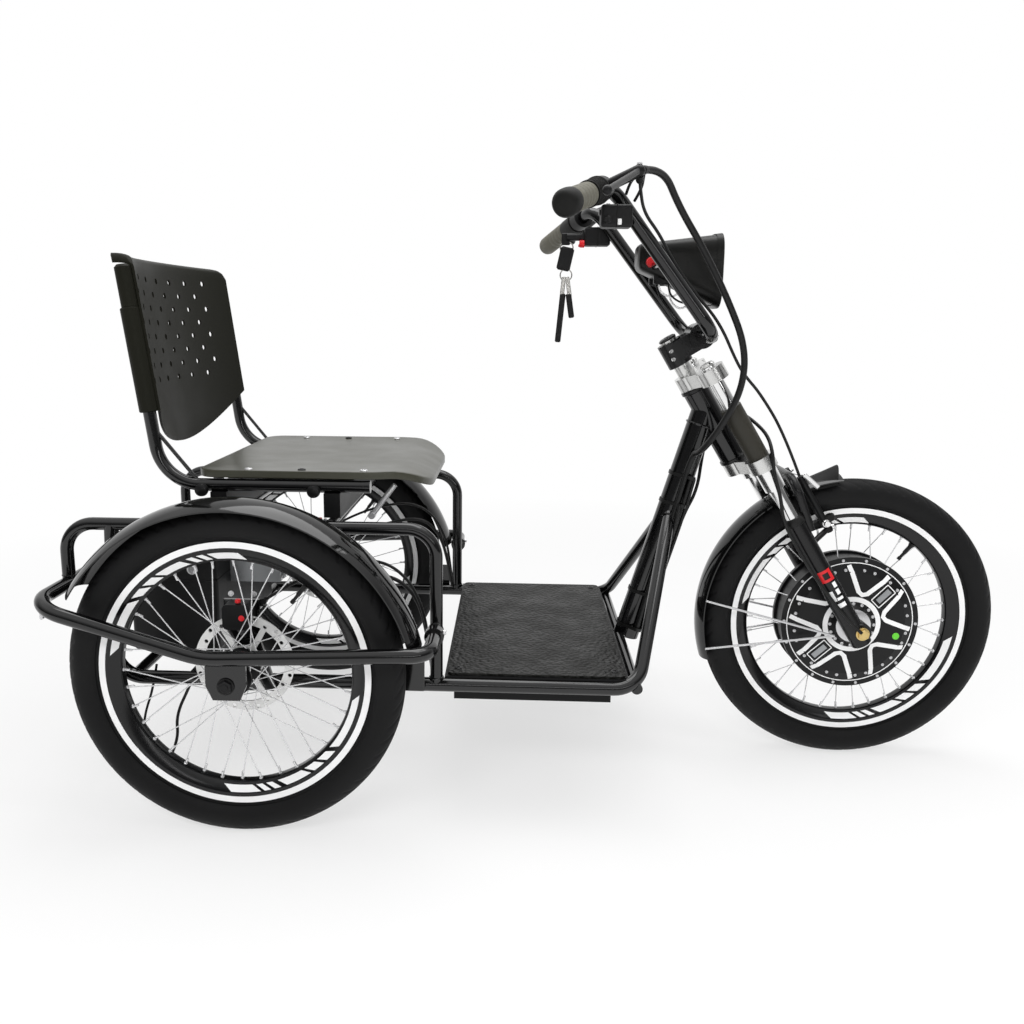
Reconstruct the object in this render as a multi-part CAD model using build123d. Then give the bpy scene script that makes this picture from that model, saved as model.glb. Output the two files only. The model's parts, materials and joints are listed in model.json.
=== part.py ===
from build123d import *
import os
from math import cos, radians, sin, sqrt, tan

# An electric trike: two spoked wheels beside the seat and one steered hub-motor wheel in front.
# Millimetres. X points forward and is counted from the rear axle, Y points left, Z points up from
# the ground. The finished pieces are moved so that X 0 is the middle of the length.

# Running gaps
FIT = 0.3            # between pieces that sit on each other
RUN = 6.0            # between pieces that move past each other

# Wheels
WHEELBASE = 1020.0
TRACK = 640.0
TYRE_DIAMETER = 514.0
TYRE_WIDTH = 54.0
TYRE_HEIGHT = 49.0   # from the rim's edge to the tread
RIM_DEPTH = 32.0
RIM_WIDTH = 32.0
RIM_FLANGE = 2.8     # thickness of the rim's edge
BEAD_DEPTH = 5.3     # how far the tyre's bead sits inside the rim's edge
SPOKE_COUNT = 36
SPOKE_DIAMETER = 1.8
SPOKE_CROSS = 2.4    # how far a leaning spoke stands off its flange's middle

# Rear hubs, axles and brakes
HUB_WIDTH = 100.0    # between the two dropout plates
HUB_FLANGE_DIAMETER = 58.0
HUB_FLANGE_SPREAD = 48.0
HUB_FLANGE = 3.4
HUB_BARREL_DIAMETER = 32.0
AXLE_DIAMETER = 12.0
AXLE_NUT_DIAMETER = 22.0
AXLE_NUT = 9.0
REAR_LACING_ANGLE = 56.0
ROTOR_DIAMETER = 156.0
ROTOR_THICKNESS = 2.4
ROTOR_OFFSET = 36.0  # from the middle of the wheel, towards the trike
ROTOR_HOLES = 24
ROTOR_HOLE_DIAMETER = 6.4
ROTOR_ARMS = 6
ROTOR_ARM_WIDTH = 9.0
ROTOR_BAND = 15.0
CALIPER_LENGTH = 44.0
CALIPER_HEIGHT = 40.0
CALIPER_X = -6.0
CALIPER_ROUND = 8.0
DROPOUT_PLATE = 6.0
DROPOUT_FOOT = 92.0  # an inner plate's length on its rail
DROPOUT_NECK = 56.0
DROPOUT_NECK_RISE = 30.0
DROPOUT_OUTER = 60.0
DROPOUT_TOE = 40.0
DROPOUT_DROP = 22.0  # how far an outer plate reaches under the axle

# Front wheel and motor
MOTOR_DIAMETER = 241.0
MOTOR_WIDTH = 92.0
MOTOR_FLANGE_SPREAD = 46.0
MOTOR_FLANGE = 8.0
MOTOR_BOSS_DIAMETER = 62.0
MOTOR_DISH = 12.0    # how far a cover's edge lies inside its boss
MOTOR_EDGE = 26.0    # width of a cover's sloping edge
FRONT_LACING_ANGLE = 3.0

# Frame tubes: heights from the axles, lengths from the rear tyres and the footboard
RAIL_DIAMETER = 22.0
RAIL_DROP = 41.0
LOOP_DIAMETER = 20.0
LOOP_RISE = 211.0
LOOP_BEND = 45.0
POST_GAP = 40.0      # from the rear tyres' front to the posts
GUARD_DIAMETER = 22.0
GUARD_RISE = 53.0
GUARD_DIP_RISE = 40.0
GUARD_DIP_X = -35.0
GUARD_BEND = 50.0
GUARD_FRONT_BEND = 30.0
BUMPER_RISE = 115.0
BUMPER_GAP = 29.0    # from the rear tyres' back to the bumper
STAY_TOP_X = -212.0
STAY_FOOT_X = -222.0
STRUT_FOOT_GAP = 14.0
STRUT_BEND = 48.0
STRUT_RISE = 246.0   # from the rails to where the struts meet the down tube
DOWN_TUBE_DIAMETER = 45.0
DOWN_TUBE_GAP = 26.0 # from the footboard's front edge to the foot of the down tube
CROSS_DIAMETER = 18.0
FRONT_BAR_GAP = 13.0

# Footboard
BOARD_REAR_GAP = 13.0
BOARD_FRONT_GAP = 420.0  # from its front edge to the front axle
BOARD_PLATE = 3.0
MAT_THICKNESS = 4.0
MAT_BORDER = 4.0
MAT_ROUND = 10.0
TRAY_INSET = (14.0, 26.0)
TRAY_GAP = 2.0
TRAY_DEPTH = 29.0
TRAY_WALL = 2.0

# Seat: heights from the side loops and from the seat
SEAT_RISE = 82.0
SEAT_REAR_X = -88.0
SEAT_FLAT_X = 216.0
SEAT_FRONT_X = 281.0
SEAT_WIDTH = 440.0
SEAT_SHELL = 7.0
SEAT_LIP = 14.0
SEAT_FRONT_DROP = 24.0
SEAT_REAR_ROUND = 34.0
SEAT_FRONT_ROUND = 105.0
SEAT_TUBE_DIAMETER = 20.0
SEAT_TUBE_INSET = 6.0
SEAT_TUBE_FRONT_X = 190.0
SEAT_TUBE_BEND_X = -142.0
SEAT_TUBE_BEND = 70.0
SEAT_BEAM_X = (-50.0, 130.0)
SEAT_BEAM_WIDTH = 26.0
BACK_TOP_RISE = 330.0
BACK_TOP_X = -188.0
BACK_SIDE_RISE = 90.0
BACK_MID_RISE = 24.0
BACK_CROWN = 14.0
BACK_SAG = 51.0      # how far the middle of the backrest lies behind its sides
BACK_COVER = 4.0     # from the front of its sleeves to its sides
BACK_OVERHANG = 2.0  # from the middle of its sleeves to its sides
BACK_SHEET = 6.0
BACK_HOLE_DIAMETER = 10.0
BACK_HOLE_ROWS = 8
BACK_HOLE_COLUMNS = 6
BACK_HOLE_PITCH_Y = 55.0
BACK_HOLE_PITCH_Z = 23.8
BACK_HOLE_TOP = 28.0
SLEEVE_DIAMETER = 30.0
SLEEVE_CAP = 8.0
SLEEVE_DROP = 80.0   # from the backrest's top to its sleeves
BACK_RIB_DIAMETER = 22.0
BACK_RIB_DROP = 34.0
BACK_ROUND = 32.0
BRACE_DIAMETER = 6.0
BRACE_UP = 92.0
BRACE_ALONG = 62.0

# Electric boxes
BATTERY_LENGTH = 150.0
BATTERY_WIDTH = 330.0
BATTERY_HEIGHT = 165.0
BATTERY_FRONT_X = -80.0
BATTERY_ROUND = 8.0
CONTROLLER_LENGTH = 88.0
CONTROLLER_WIDTH = 190.0
CONTROLLER_HEIGHT = 60.0
CONTROLLER_DROP = 137.0  # from the side loops down to its underside
CONTROLLER_FINS = 6
CONTROLLER_FIN = 14.0

# Fenders
FENDER_SHEET = 2.0
REAR_FENDER_GAP = 32.0
REAR_FENDER_DROP = 19.0   # its centre lies this far under the axle
REAR_FENDER_WIDTH = 79.0
REAR_FENDER_CROWN = 13.0
REAR_FENDER_ANGLES = (13.5, 149.5)
FENDER_BRACE_IN = 6.0
FRONT_FENDER_GAP = 12.0
FRONT_FENDER_WIDTH = 62.0
FRONT_FENDER_CROWN = 9.0
FRONT_FENDER_ANGLES = (97.0, 197.0)
STAY_DIAMETER = 4.0
STAY_ANGLES = (172.0, 192.0)

# Fork, in the steering frame: forward of the steering axis, and up along it from the axle
RAKE_ANGLE = 31.5
CROWN_OFFSET = 26.0
AXLE_OFFSET = 6.0
LEG_SPREAD = 142.0
LOWER_DIAMETER = 34.0
LOWER_TOP_GAP = 23.0  # the lower legs end this far inside the tyre's edge
LOWER_BOTTOM = -22.0
STANCHION_DIAMETER = 26.0
STANCHION_END = 4.0
SHOULDER_DIAMETER = 36.0
SHOULDER_GAP = 41.0
CROWN_GAP = 91.0      # from the tyre's edge to the lower crown
CROWN_SPREAD = 173.0
CROWN_THICKNESS = 24.0
CROWN_EYE_DIAMETER = 48.0
SLEEVE_GAP = 63.0
STEERER_DIAMETER = 30.0
HEAD_TUBE_DIAMETER = 46.0
HEAD_GAP = 1.5
DOWN_TUBE_TOP_GAP = 56.0
ARCH_GAP = 39.0
ARCH_FORWARD = 34.0
ARCH_DIAMETER = 16.0
ARCH_BEND = 30.0
BRAKE_RIM_GAP = 18.0
BRAKE_ARM_RISE = 95.0
BRAKE_FORWARD = 50.0
BRAKE_ARM_Y = 40.0
BRAKE_ARM = 12.0

# Handlebar, lamp and controls
STEM_LENGTH = 50.0
STEM_RISE = 59.0
STEM_DIAMETER = 44.0
STEM_WIDTH = 52.0
STEM_DROP = 4.0
BAR_DIAMETER = 22.2
RISER_FOOT_Y = 124.0
RISER_TOP_Y = 138.0
RISER_RISE = 229.0
RISER_PULLBACK = 176.0
GRIP_END_Y = 330.0
GRIP_PULLBACK = 80.0
GRIP_DROP = 52.0
BAR_BEND = 36.0
FOOT_BEND = 40.0
GRIP_DIAMETER = 35.0
GRIP_LENGTH = 100.0
THROTTLE_DIAMETER = 38.0
THROTTLE_LENGTH = 46.0
PERCH_LENGTH = 22.0
LEVER_FORWARD = 66.0
LEVER_RISE = 30.0
KNUCKLE_DIAMETER = 18.0
LEVER_THICKNESS = 9.0
SWITCH_SIZE = (48.0, 32.0, 34.0)
SWITCH_PLACE = (8.0, 21.0, -49.0)  # of the left box, from the riser's top corner
SWITCH_ROUND = 5.0
KEY_BARREL_DIAMETER = 14.0
KEY_BARREL = 32.0
KEY_FOB = (26.0, 7.0, 62.0)
KEY_BLADE = (9.0, 5.0)
KEY_ENDS = (150.0, 196.0)  # how far the two keys hang under the barrel
LAMP_REAR = (-113.0, 131.0)
LAMP_FRONT = (17.0, 109.0)
LAMP_REAR_SIZE = (66.0, 44.0)
LAMP_FRONT_SIZE = (100.0, 118.0)
LAMP_LENS = 6.0
LENS_BORDER = 4.0
LAMP_BAR_DIAMETER = 12.0

# Cables: their points from the middle of the bar's clamp, along the real routes
LOOM_DIAMETER = 11.0
LOOM_ROUTE = [
    (-102, -174, 249), (-70, -140, 197), (-25, -120, 136), (20, -110, 58), (53, -106, -15),
    (53, -106, -81), (26, -98, -144), (0, -62, -196),
]
LOOM_HOLD = (0.74, 0.66)  # where its end runs beside the down tube, as shares of the tube's height
BRAKE_CABLE_DIAMETER = 5.0
BRAKE_CABLE_ROUTE = [
    (-137, -192, 213), (-126, -160, 186), (-97, -134, 157), (-72, -117, 118), (-36, -115, 70), (10, -104, 23),
    (46, -80, -40), (65, -70, -65), (96, -55, -95), (142, -45, -161),
]

# Worked out from the sizes above
AXLE_Z = TYRE_DIAMETER / 2
RIM_RADIUS = TYRE_DIAMETER / 2 - TYRE_HEIGHT
RIM_INNER = RIM_RADIUS - RIM_DEPTH
HALF_TRACK = TRACK / 2
INNER_PLATE_Y = HALF_TRACK - HUB_WIDTH / 2 - DROPOUT_PLATE
OUTER_PLATE_Y = HALF_TRACK + HUB_WIDTH / 2
GUARD_Y = OUTER_PLATE_Y + DROPOUT_PLATE / 2
RAIL_Y = INNER_PLATE_Y - FIT - RAIL_DIAMETER / 2
RAIL_Z = AXLE_Z - RAIL_DROP
RAIL_TOP = RAIL_Z + RAIL_DIAMETER / 2 + FIT
LOOP_Z = AXLE_Z + LOOP_RISE
GUARD_Z = AXLE_Z + GUARD_RISE
GUARD_DIP_Z = AXLE_Z + GUARD_DIP_RISE
BUMPER_Z = AXLE_Z + BUMPER_RISE
POST_X = AXLE_Z + POST_GAP
REAR_X = -AXLE_Z - BUMPER_GAP
BOARD_REAR_X = POST_X + BOARD_REAR_GAP
BOARD_FRONT_X = WHEELBASE - BOARD_FRONT_GAP
STRUT_FOOT_X = BOARD_FRONT_X + STRUT_FOOT_GAP
TRAY_REAR_X = BOARD_REAR_X + TRAY_INSET[0]
TRAY_FRONT_X = BOARD_FRONT_X - TRAY_INSET[1]
SEAT_Z = LOOP_Z + SEAT_RISE
SEAT_TUBE_Z = SEAT_Z - SEAT_LIP - FIT - SEAT_TUBE_DIAMETER / 2
SEAT_TUBE_Y = SEAT_WIDTH / 2 - SEAT_TUBE_INSET
BACK_TOP_Z = SEAT_Z + BACK_TOP_RISE
BACK_SIDE_BOTTOM_Z = SEAT_Z + BACK_SIDE_RISE
BACK_MID_BOTTOM_Z = SEAT_Z + BACK_MID_RISE
BACK_HALF = SEAT_TUBE_Y + BACK_OVERHANG
REAR_FENDER_RADIUS = AXLE_Z + REAR_FENDER_GAP
FRONT_FENDER_RADIUS = AXLE_Z + FRONT_FENDER_GAP
LEG_Y = LEG_SPREAD / 2
LOWER_TOP = AXLE_Z - LOWER_TOP_GAP
ARCH_UP = AXLE_Z + ARCH_GAP
SHOULDER_BOTTOM = AXLE_Z + SHOULDER_GAP
CROWN_LOW = AXLE_Z + CROWN_GAP
CROWN_HIGH = CROWN_LOW + CROWN_SPREAD
SLEEVE_TOP = CROWN_HIGH - SLEEVE_GAP
STEM_UP = CROWN_HIGH + STEM_RISE
BRAKE_UP = RIM_RADIUS - BRAKE_RIM_GAP
BRAKE_ARM_TOP = BRAKE_UP + BRAKE_ARM_RISE
FRONT_REACH = WHEELBASE + TYRE_DIAMETER / 2
REAR_REACH = REAR_X - GUARD_DIAMETER / 2
MIDDLE_X = (FRONT_REACH + REAR_REACH) / 2
LOW = (Align.CENTER, Align.CENTER, Align.MIN)

RAKE_SIN = sin(radians(RAKE_ANGLE))
RAKE_COS = cos(radians(RAKE_ANGLE))
FORK_X = WHEELBASE - (CROWN_OFFSET + AXLE_OFFSET) * RAKE_COS
FORK_Z = AXLE_Z - (CROWN_OFFSET + AXLE_OFFSET) * RAKE_SIN
FORK = Plane(origin=(FORK_X, 0, FORK_Z), x_dir=(RAKE_COS, 0, RAKE_SIN), z_dir=(-RAKE_SIN, 0, RAKE_COS))


def fork_point(forward, side, up):
    """A point of the steering frame, in the trike's own axes."""
    x = FORK_X + forward * RAKE_COS - up * RAKE_SIN
    z = FORK_Z + forward * RAKE_SIN + up * RAKE_COS
    return Vector(x, side, z)


BAR_CLAMP = fork_point(STEM_LENGTH, 0, STEM_UP)


def rod(start, end, diameter):
    """A straight round bar from one point to another."""
    start = Vector(start)
    run = Vector(end) - start
    return Plane(origin=start, z_dir=run) * Cylinder(diameter / 2, run.length, align=LOW)


def tube(points, bends, diameter):
    """A round tube along straight runs joined by bends of the given radii."""
    path = FilletPolyline(*points, radius=bends)
    start = Plane(origin=path @ 0, z_dir=path % 0)
    return sweep(start * Circle(diameter / 2), path=path)


def ring(start, run, outer, inner):
    """A sleeve on a line: its start, the run to its end, and its two diameters."""
    run = Vector(run)
    place = Plane(origin=Vector(start), z_dir=run)
    return place * (Cylinder(outer / 2, run.length, align=LOW) - Cylinder(inner / 2, run.length, align=LOW))


def spun(points):
    """A body of revolution about Y from (radius, y) corners."""
    return revolve(make_face(Polyline(*points, close=True)), Axis.Y)


def group(*pieces):
    """All the solids of some pieces as one node."""
    return Compound(children=[solid for piece in pieces for solid in piece.solids()])


def pair(piece):
    """A piece and its mirror image on the other side, as two solids of one node."""
    return group(piece, mirror(piece, about=Plane.XZ))


def cut(piece, cutters):
    """A piece with the solids of other pieces taken out of it."""
    for cutter in cutters:
        for solid in cutter.solids():
            piece -= solid
    return piece


def tyre():
    """The tyre's section, from its bead over the sidewall to the crown, and back by symmetry."""
    height = TYRE_DIAMETER / 2 - RIM_RADIUS
    half = TYRE_WIDTH / 2
    bead_y = RIM_WIDTH / 2 - RIM_FLANGE - FIT
    corners = [
        (RIM_RADIUS - BEAD_DEPTH + FIT, bead_y),
        (RIM_RADIUS + FIT, bead_y),
        (RIM_RADIUS + 0.30 * height, 0.93 * half),
        (RIM_RADIUS + 0.62 * height, half),
        (RIM_RADIUS + 0.86 * height, 0.76 * half),
        (RIM_RADIUS + height, 0.30 * half),
    ]
    return spun(corners + [(r, -y) for r, y in reversed(corners)])


def rim():
    """A deep box rim with a bead seat between its two edges."""
    half = RIM_WIDTH / 2
    seat = RIM_RADIUS - BEAD_DEPTH
    corners = [
        (seat, half - RIM_FLANGE),
        (RIM_RADIUS, half - RIM_FLANGE),
        (RIM_RADIUS, half),
        (RIM_RADIUS - RIM_DEPTH / 2, half),
        (RIM_INNER, half / 2),
    ]
    return spun(corners + [(r, -y) for r, y in reversed(corners)])


def spokes(flange_radius, flange_spread, turn):
    """Crossed spokes from the two flanges to the rim, each other one leaning the other way."""
    rods = []
    for number in range(SPOKE_COUNT):
        side = 1 if number % 2 else -1
        lean = 1 if (number // 2) % 2 else -1
        rim_angle = radians(number * 360 / SPOKE_COUNT)
        hub_angle = rim_angle + lean * radians(turn)
        near = flange_radius + SPOKE_DIAMETER / 2 + FIT
        far = RIM_INNER - SPOKE_DIAMETER / 2
        near_y = side * (flange_spread / 2) + lean * SPOKE_CROSS
        far_y = side * SPOKE_DIAMETER
        start = (near * cos(hub_angle), near_y, near * sin(hub_angle))
        end = (far * cos(rim_angle), far_y, far * sin(rim_angle))
        rods.append(rod(start, end, SPOKE_DIAMETER))
    return group(*rods)


def rear_hub():
    """A barrel with two spoke flanges, bored for its axle."""
    bore = AXLE_DIAMETER / 2 + FIT
    half = HUB_WIDTH / 2 - FIT
    barrel = HUB_BARREL_DIAMETER / 2
    flange = HUB_FLANGE_DIAMETER / 2
    out = HUB_FLANGE_SPREAD / 2 + HUB_FLANGE / 2
    inside = out - HUB_FLANGE
    nose = AXLE_NUT_DIAMETER / 2
    corners = [(bore, half), (nose, half), (nose, out + RUN), (barrel, out + RUN), (barrel, out),
               (flange, out), (flange, inside), (barrel, inside)]
    return spun(corners + [(r, -y) for r, y in reversed(corners)])


def rotor():
    """A drilled brake disc on a spider that fits the hub's barrel."""
    radius = ROTOR_DIAMETER / 2
    disc = Cylinder(radius, ROTOR_THICKNESS)
    band = Cylinder(radius - ROTOR_BAND, ROTOR_THICKNESS)
    spider = Cylinder(HUB_FLANGE_DIAMETER / 2, ROTOR_THICKNESS)
    for number in range(ROTOR_ARMS):
        arm = Pos(radius / 2, 0, 0) * Box(radius, ROTOR_ARM_WIDTH, ROTOR_THICKNESS)
        spider += Rot(0, 0, number * 360 / ROTOR_ARMS) * arm
    disc = (disc - band) + (spider & disc)
    for number in range(ROTOR_HOLES):
        reach = radius - ROTOR_BAND * (0.33 if number % 2 else 0.67)
        hole = Pos(reach, 0, 0) * Cylinder(ROTOR_HOLE_DIAMETER / 2, 2 * ROTOR_THICKNESS)
        disc -= Rot(0, 0, number * 360 / ROTOR_HOLES) * hole
    disc -= Cylinder(AXLE_NUT_DIAMETER / 2 + FIT, 2 * ROTOR_THICKNESS)
    return Rot(90, 0, 0) * disc


def hub_motor():
    """A flat drum motor: two dished covers, a spoke flange each side, and a bored boss."""
    bore = AXLE_DIAMETER / 2 + FIT
    radius = MOTOR_DIAMETER / 2
    half = MOTOR_WIDTH / 2
    boss = MOTOR_BOSS_DIAMETER / 2
    flange_out = (MOTOR_FLANGE_SPREAD + MOTOR_FLANGE) / 2
    flange_in = (MOTOR_FLANGE_SPREAD - MOTOR_FLANGE) / 2
    edge = radius - MOTOR_EDGE
    corners = [(bore, half), (boss, half), (boss + MOTOR_DISH / 2, half - 0.7 * MOTOR_DISH),
               (edge, half - MOTOR_DISH), (radius - MOTOR_DISH, flange_out), (radius, flange_out),
               (radius, flange_in), (radius - MOTOR_FLANGE / 2, flange_in)]
    return spun(corners + [(r, -y) for r, y in reversed(corners)])


def rail_tube(room=0.0):
    """The left floor tube: down from the side loop, along the floor, and up the strut to the down tube."""
    points = [
        (STAY_TOP_X, RAIL_Y, LOOP_Z),
        (STAY_FOOT_X, RAIL_Y, RAIL_Z),
        (STRUT_FOOT_X, RAIL_Y, RAIL_Z),
        tuple(down_tube_at(RAIL_Z + STRUT_RISE)),
    ]
    return tube(points, [LOOP_BEND, STRUT_BEND], RAIL_DIAMETER + 2 * room)


def loop_tube(room=0.0):
    """The left loop: down at the rear bumper, along under the seat and down the front post."""
    points = [
        (REAR_X, RAIL_Y, BUMPER_Z),
        (REAR_X, RAIL_Y, LOOP_Z),
        (POST_X, RAIL_Y, LOOP_Z),
        (POST_X, RAIL_Y, RAIL_Z),
    ]
    return tube(points, [LOOP_BEND, LOOP_BEND], LOOP_DIAMETER + 2 * room)


def floor_rails():
    """Both floor tubes, cut to the side loops and to the down tube."""
    left_half = Box(2 * WHEELBASE, TRACK, 2 * WHEELBASE, align=(Align.CENTER, Align.MIN, Align.CENTER))
    loop_run = rod((REAR_X, RAIL_Y, LOOP_Z), (POST_X, RAIL_Y, LOOP_Z), LOOP_DIAMETER + 2 * FIT)
    return pair(cut(rail_tube() & left_half, [loop_run, down_tube(FIT)]))


def side_loops():
    """Both side loops, cut to the bumper and to the floor rails."""
    rail_run = rod((STAY_FOOT_X, RAIL_Y, RAIL_Z), (STRUT_FOOT_X, RAIL_Y, RAIL_Z), RAIL_DIAMETER + 2 * FIT)
    return pair(cut(loop_tube(), [wheel_guard(FIT), rail_run]))


def head_tube():
    """The steering tube, bored for the steerer."""
    bottom = CROWN_LOW + CROWN_THICKNESS / 2 + HEAD_GAP
    top = CROWN_HIGH - CROWN_THICKNESS / 2 - HEAD_GAP
    run = fork_point(0, 0, top) - fork_point(0, 0, bottom)
    return ring(fork_point(0, 0, bottom), run, HEAD_TUBE_DIAMETER, STEERER_DIAMETER + 2 * FIT)


def down_tube_at(z):
    """The point of the down tube's axis at one height."""
    foot = Vector(BOARD_FRONT_X + DOWN_TUBE_GAP, 0, RAIL_Z)
    top = fork_point(0, 0, CROWN_HIGH - DOWN_TUBE_TOP_GAP)
    return foot + (top - foot) * ((z - foot.Z) / (top.Z - foot.Z))


def down_tube(room=0.0):
    """The single tube from the front cross bar up to the head tube."""
    top = fork_point(0, 0, CROWN_HIGH - DOWN_TUBE_TOP_GAP)
    whole = rod(down_tube_at(RAIL_Z), top, DOWN_TUBE_DIAMETER + 2 * room)
    head = rod(fork_point(0, 0, CROWN_LOW), fork_point(0, 0, CROWN_HIGH), HEAD_TUBE_DIAMETER + 2 * FIT)
    return cut(whole, [head, cross_bars(FIT)[-1]])


def cross_bars(room=0.0):
    """Bars from side to side: under the seat, the footboard and the battery, and at the down tube's foot."""
    rows = [
        # x, height
        (SEAT_BEAM_X[0], LOOP_Z),
        (SEAT_BEAM_X[1], LOOP_Z),
        (BOARD_REAR_X + CROSS_DIAMETER, RAIL_Z),
        (BOARD_FRONT_X - 3 * CROSS_DIAMETER, RAIL_Z),
        (BATTERY_FRONT_X - CROSS_DIAMETER, RAIL_Z),
        (BATTERY_FRONT_X - BATTERY_LENGTH + 2 * CROSS_DIAMETER, RAIL_Z),
        (BOARD_FRONT_X + FRONT_BAR_GAP, RAIL_Z),
    ]
    return [rod((x, -RAIL_Y, z), (x, RAIL_Y, z), CROSS_DIAMETER + 2 * room) for x, z in rows]


def cross_tubes():
    """Those bars, cut to the rails and the loops."""
    sides = [pair(rail_tube(FIT)), pair(loop_tube(FIT))]
    return group(*[cut(bar, sides) for bar in cross_bars()])


def wheel_guard(room=0.0):
    """One tube round both rear wheels: from each front post along the wheel and across the rear."""
    front_y = RAIL_Y + LOOP_DIAMETER / 2 + FIT
    half = [
        (POST_X, front_y, GUARD_Z),
        (POST_X, GUARD_Y, GUARD_Z),
        (GUARD_DIP_X, GUARD_Y, GUARD_DIP_Z),
        (REAR_X, GUARD_Y, BUMPER_Z),
    ]
    other = [(x, -y, z) for x, y, z in reversed(half)]
    kink = 3 * GUARD_BEND
    bends = [GUARD_FRONT_BEND, kink, GUARD_BEND, GUARD_BEND, kink, GUARD_FRONT_BEND]
    return tube(half + other, bends, GUARD_DIAMETER + 2 * room)


def plate(outline, y, thickness):
    """A flat plate in the XZ plane from corner points, from y outwards to the left."""
    face = make_face(Polyline(*[(x, y, z) for x, z in outline], close=True))
    return extrude(face, amount=thickness, dir=(0, 1, 0))


def dropouts():
    """The plates that hold the rear axles: inner ones on the rails, outer ones under the guard."""
    hole = Pos(0, HALF_TRACK, AXLE_Z) * Rot(90, 0, 0) * Cylinder(AXLE_DIAMETER / 2 + FIT / 2, 2 * HUB_WIDTH)
    low = RAIL_Z - RAIL_DIAMETER / 2
    top = AXLE_Z + ROTOR_DIAMETER / 2 + CALIPER_HEIGHT / 2
    foot = DROPOUT_FOOT / 2
    front = CALIPER_X + DROPOUT_NECK / 2
    rear = CALIPER_X - DROPOUT_NECK / 2
    neck = AXLE_Z + DROPOUT_NECK_RISE
    inner = [(-foot, low), (foot, low), (front, neck), (front, top), (rear, top), (rear, neck)]
    side = DROPOUT_OUTER / 2
    toe = DROPOUT_TOE / 2
    bottom = AXLE_Z - DROPOUT_DROP
    outer = [(-toe, bottom), (toe, bottom), (side, AXLE_Z)]
    outer += [(side, GUARD_DIP_Z), (-side, GUARD_DIP_Z), (-side, AXLE_Z)]
    inner_plate = plate(inner, INNER_PLATE_Y, DROPOUT_PLATE) - hole
    outer_plate = cut(plate(outer, OUTER_PLATE_Y, DROPOUT_PLATE) - hole, [wheel_guard(FIT)])
    return group(pair(inner_plate), pair(outer_plate))


def rear_axles():
    """A bar through both plates of each wheel, with a nut at each end."""
    inside = INNER_PLATE_Y - AXLE_NUT
    outside = OUTER_PLATE_Y + DROPOUT_PLATE + AXLE_NUT
    bar = rod((0, inside, AXLE_Z), (0, outside, AXLE_Z), AXLE_DIAMETER)
    bar += rod((0, inside, AXLE_Z), (0, inside + AXLE_NUT - FIT, AXLE_Z), AXLE_NUT_DIAMETER)
    bar += rod((0, outside - AXLE_NUT + FIT, AXLE_Z), (0, outside, AXLE_Z), AXLE_NUT_DIAMETER)
    return pair(bar)


def brake_calipers():
    """A caliper on each inner plate, slotted for the disc."""
    disc_y = HALF_TRACK - ROTOR_OFFSET
    face_y = INNER_PLATE_Y + DROPOUT_PLATE
    depth = 2 * (disc_y - face_y)
    z = AXLE_Z + ROTOR_DIAMETER / 2
    body = Pos(CALIPER_X, disc_y, z) * Box(CALIPER_LENGTH, depth, CALIPER_HEIGHT)
    body = fillet(body.edges().filter_by(Axis.Y), CALIPER_ROUND)
    slot_room = ROTOR_THICKNESS + RUN
    slot = Pos(CALIPER_X, disc_y, z - CALIPER_HEIGHT / 4) * Box(2 * CALIPER_LENGTH, slot_room, CALIPER_HEIGHT)
    return pair(body - slot)


def notched(sheet):
    """A flat sheet, notched at each side where the rails turn up."""
    size = 2 * WHEELBASE
    right = sheet & Box(size, size, size, align=(Align.CENTER, Align.MAX, Align.CENTER))
    right = cut(right, [mirror(rail_tube(FIT), about=Plane.XZ)])
    return right + mirror(right, about=Plane.XZ)


def footboard():
    """The flat floor plate on the rails."""
    length = BOARD_FRONT_X - BOARD_REAR_X
    width = 2 * RAIL_Y
    board = Box(length, width, BOARD_PLATE, align=(Align.MIN, Align.CENTER, Align.MIN))
    return notched(Pos(BOARD_REAR_X, 0, RAIL_TOP) * board)


def foot_mat():
    """The rubber sheet on the floor plate."""
    length = BOARD_FRONT_X - BOARD_REAR_X - 2 * MAT_BORDER
    width = 2 * (RAIL_Y - MAT_BORDER)
    mat = Box(length, width, MAT_THICKNESS, align=(Align.MIN, Align.CENTER, Align.MIN))
    mat = fillet(mat.edges().filter_by(Axis.Z), MAT_ROUND)
    return notched(Pos(BOARD_REAR_X + MAT_BORDER, 0, RAIL_TOP + BOARD_PLATE) * mat)


def under_tray():
    """A shallow pan under the floor plate, between the rails."""
    length = TRAY_FRONT_X - TRAY_REAR_X
    width = 2 * (RAIL_Y - RAIL_DIAMETER / 2 - TRAY_GAP)
    height = RAIL_TOP - FIT - (RAIL_Z - TRAY_DEPTH)
    align = (Align.MIN, Align.CENTER, Align.MIN)
    pan = Box(length, width, height, align=align)
    inside = Box(length - 2 * TRAY_WALL, width - 2 * TRAY_WALL, height, align=align)
    pan -= Pos(TRAY_WALL, 0, TRAY_WALL) * inside
    return cut(Pos(TRAY_REAR_X, 0, RAIL_Z - TRAY_DEPTH) * pan, cross_bars(FIT))


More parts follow.
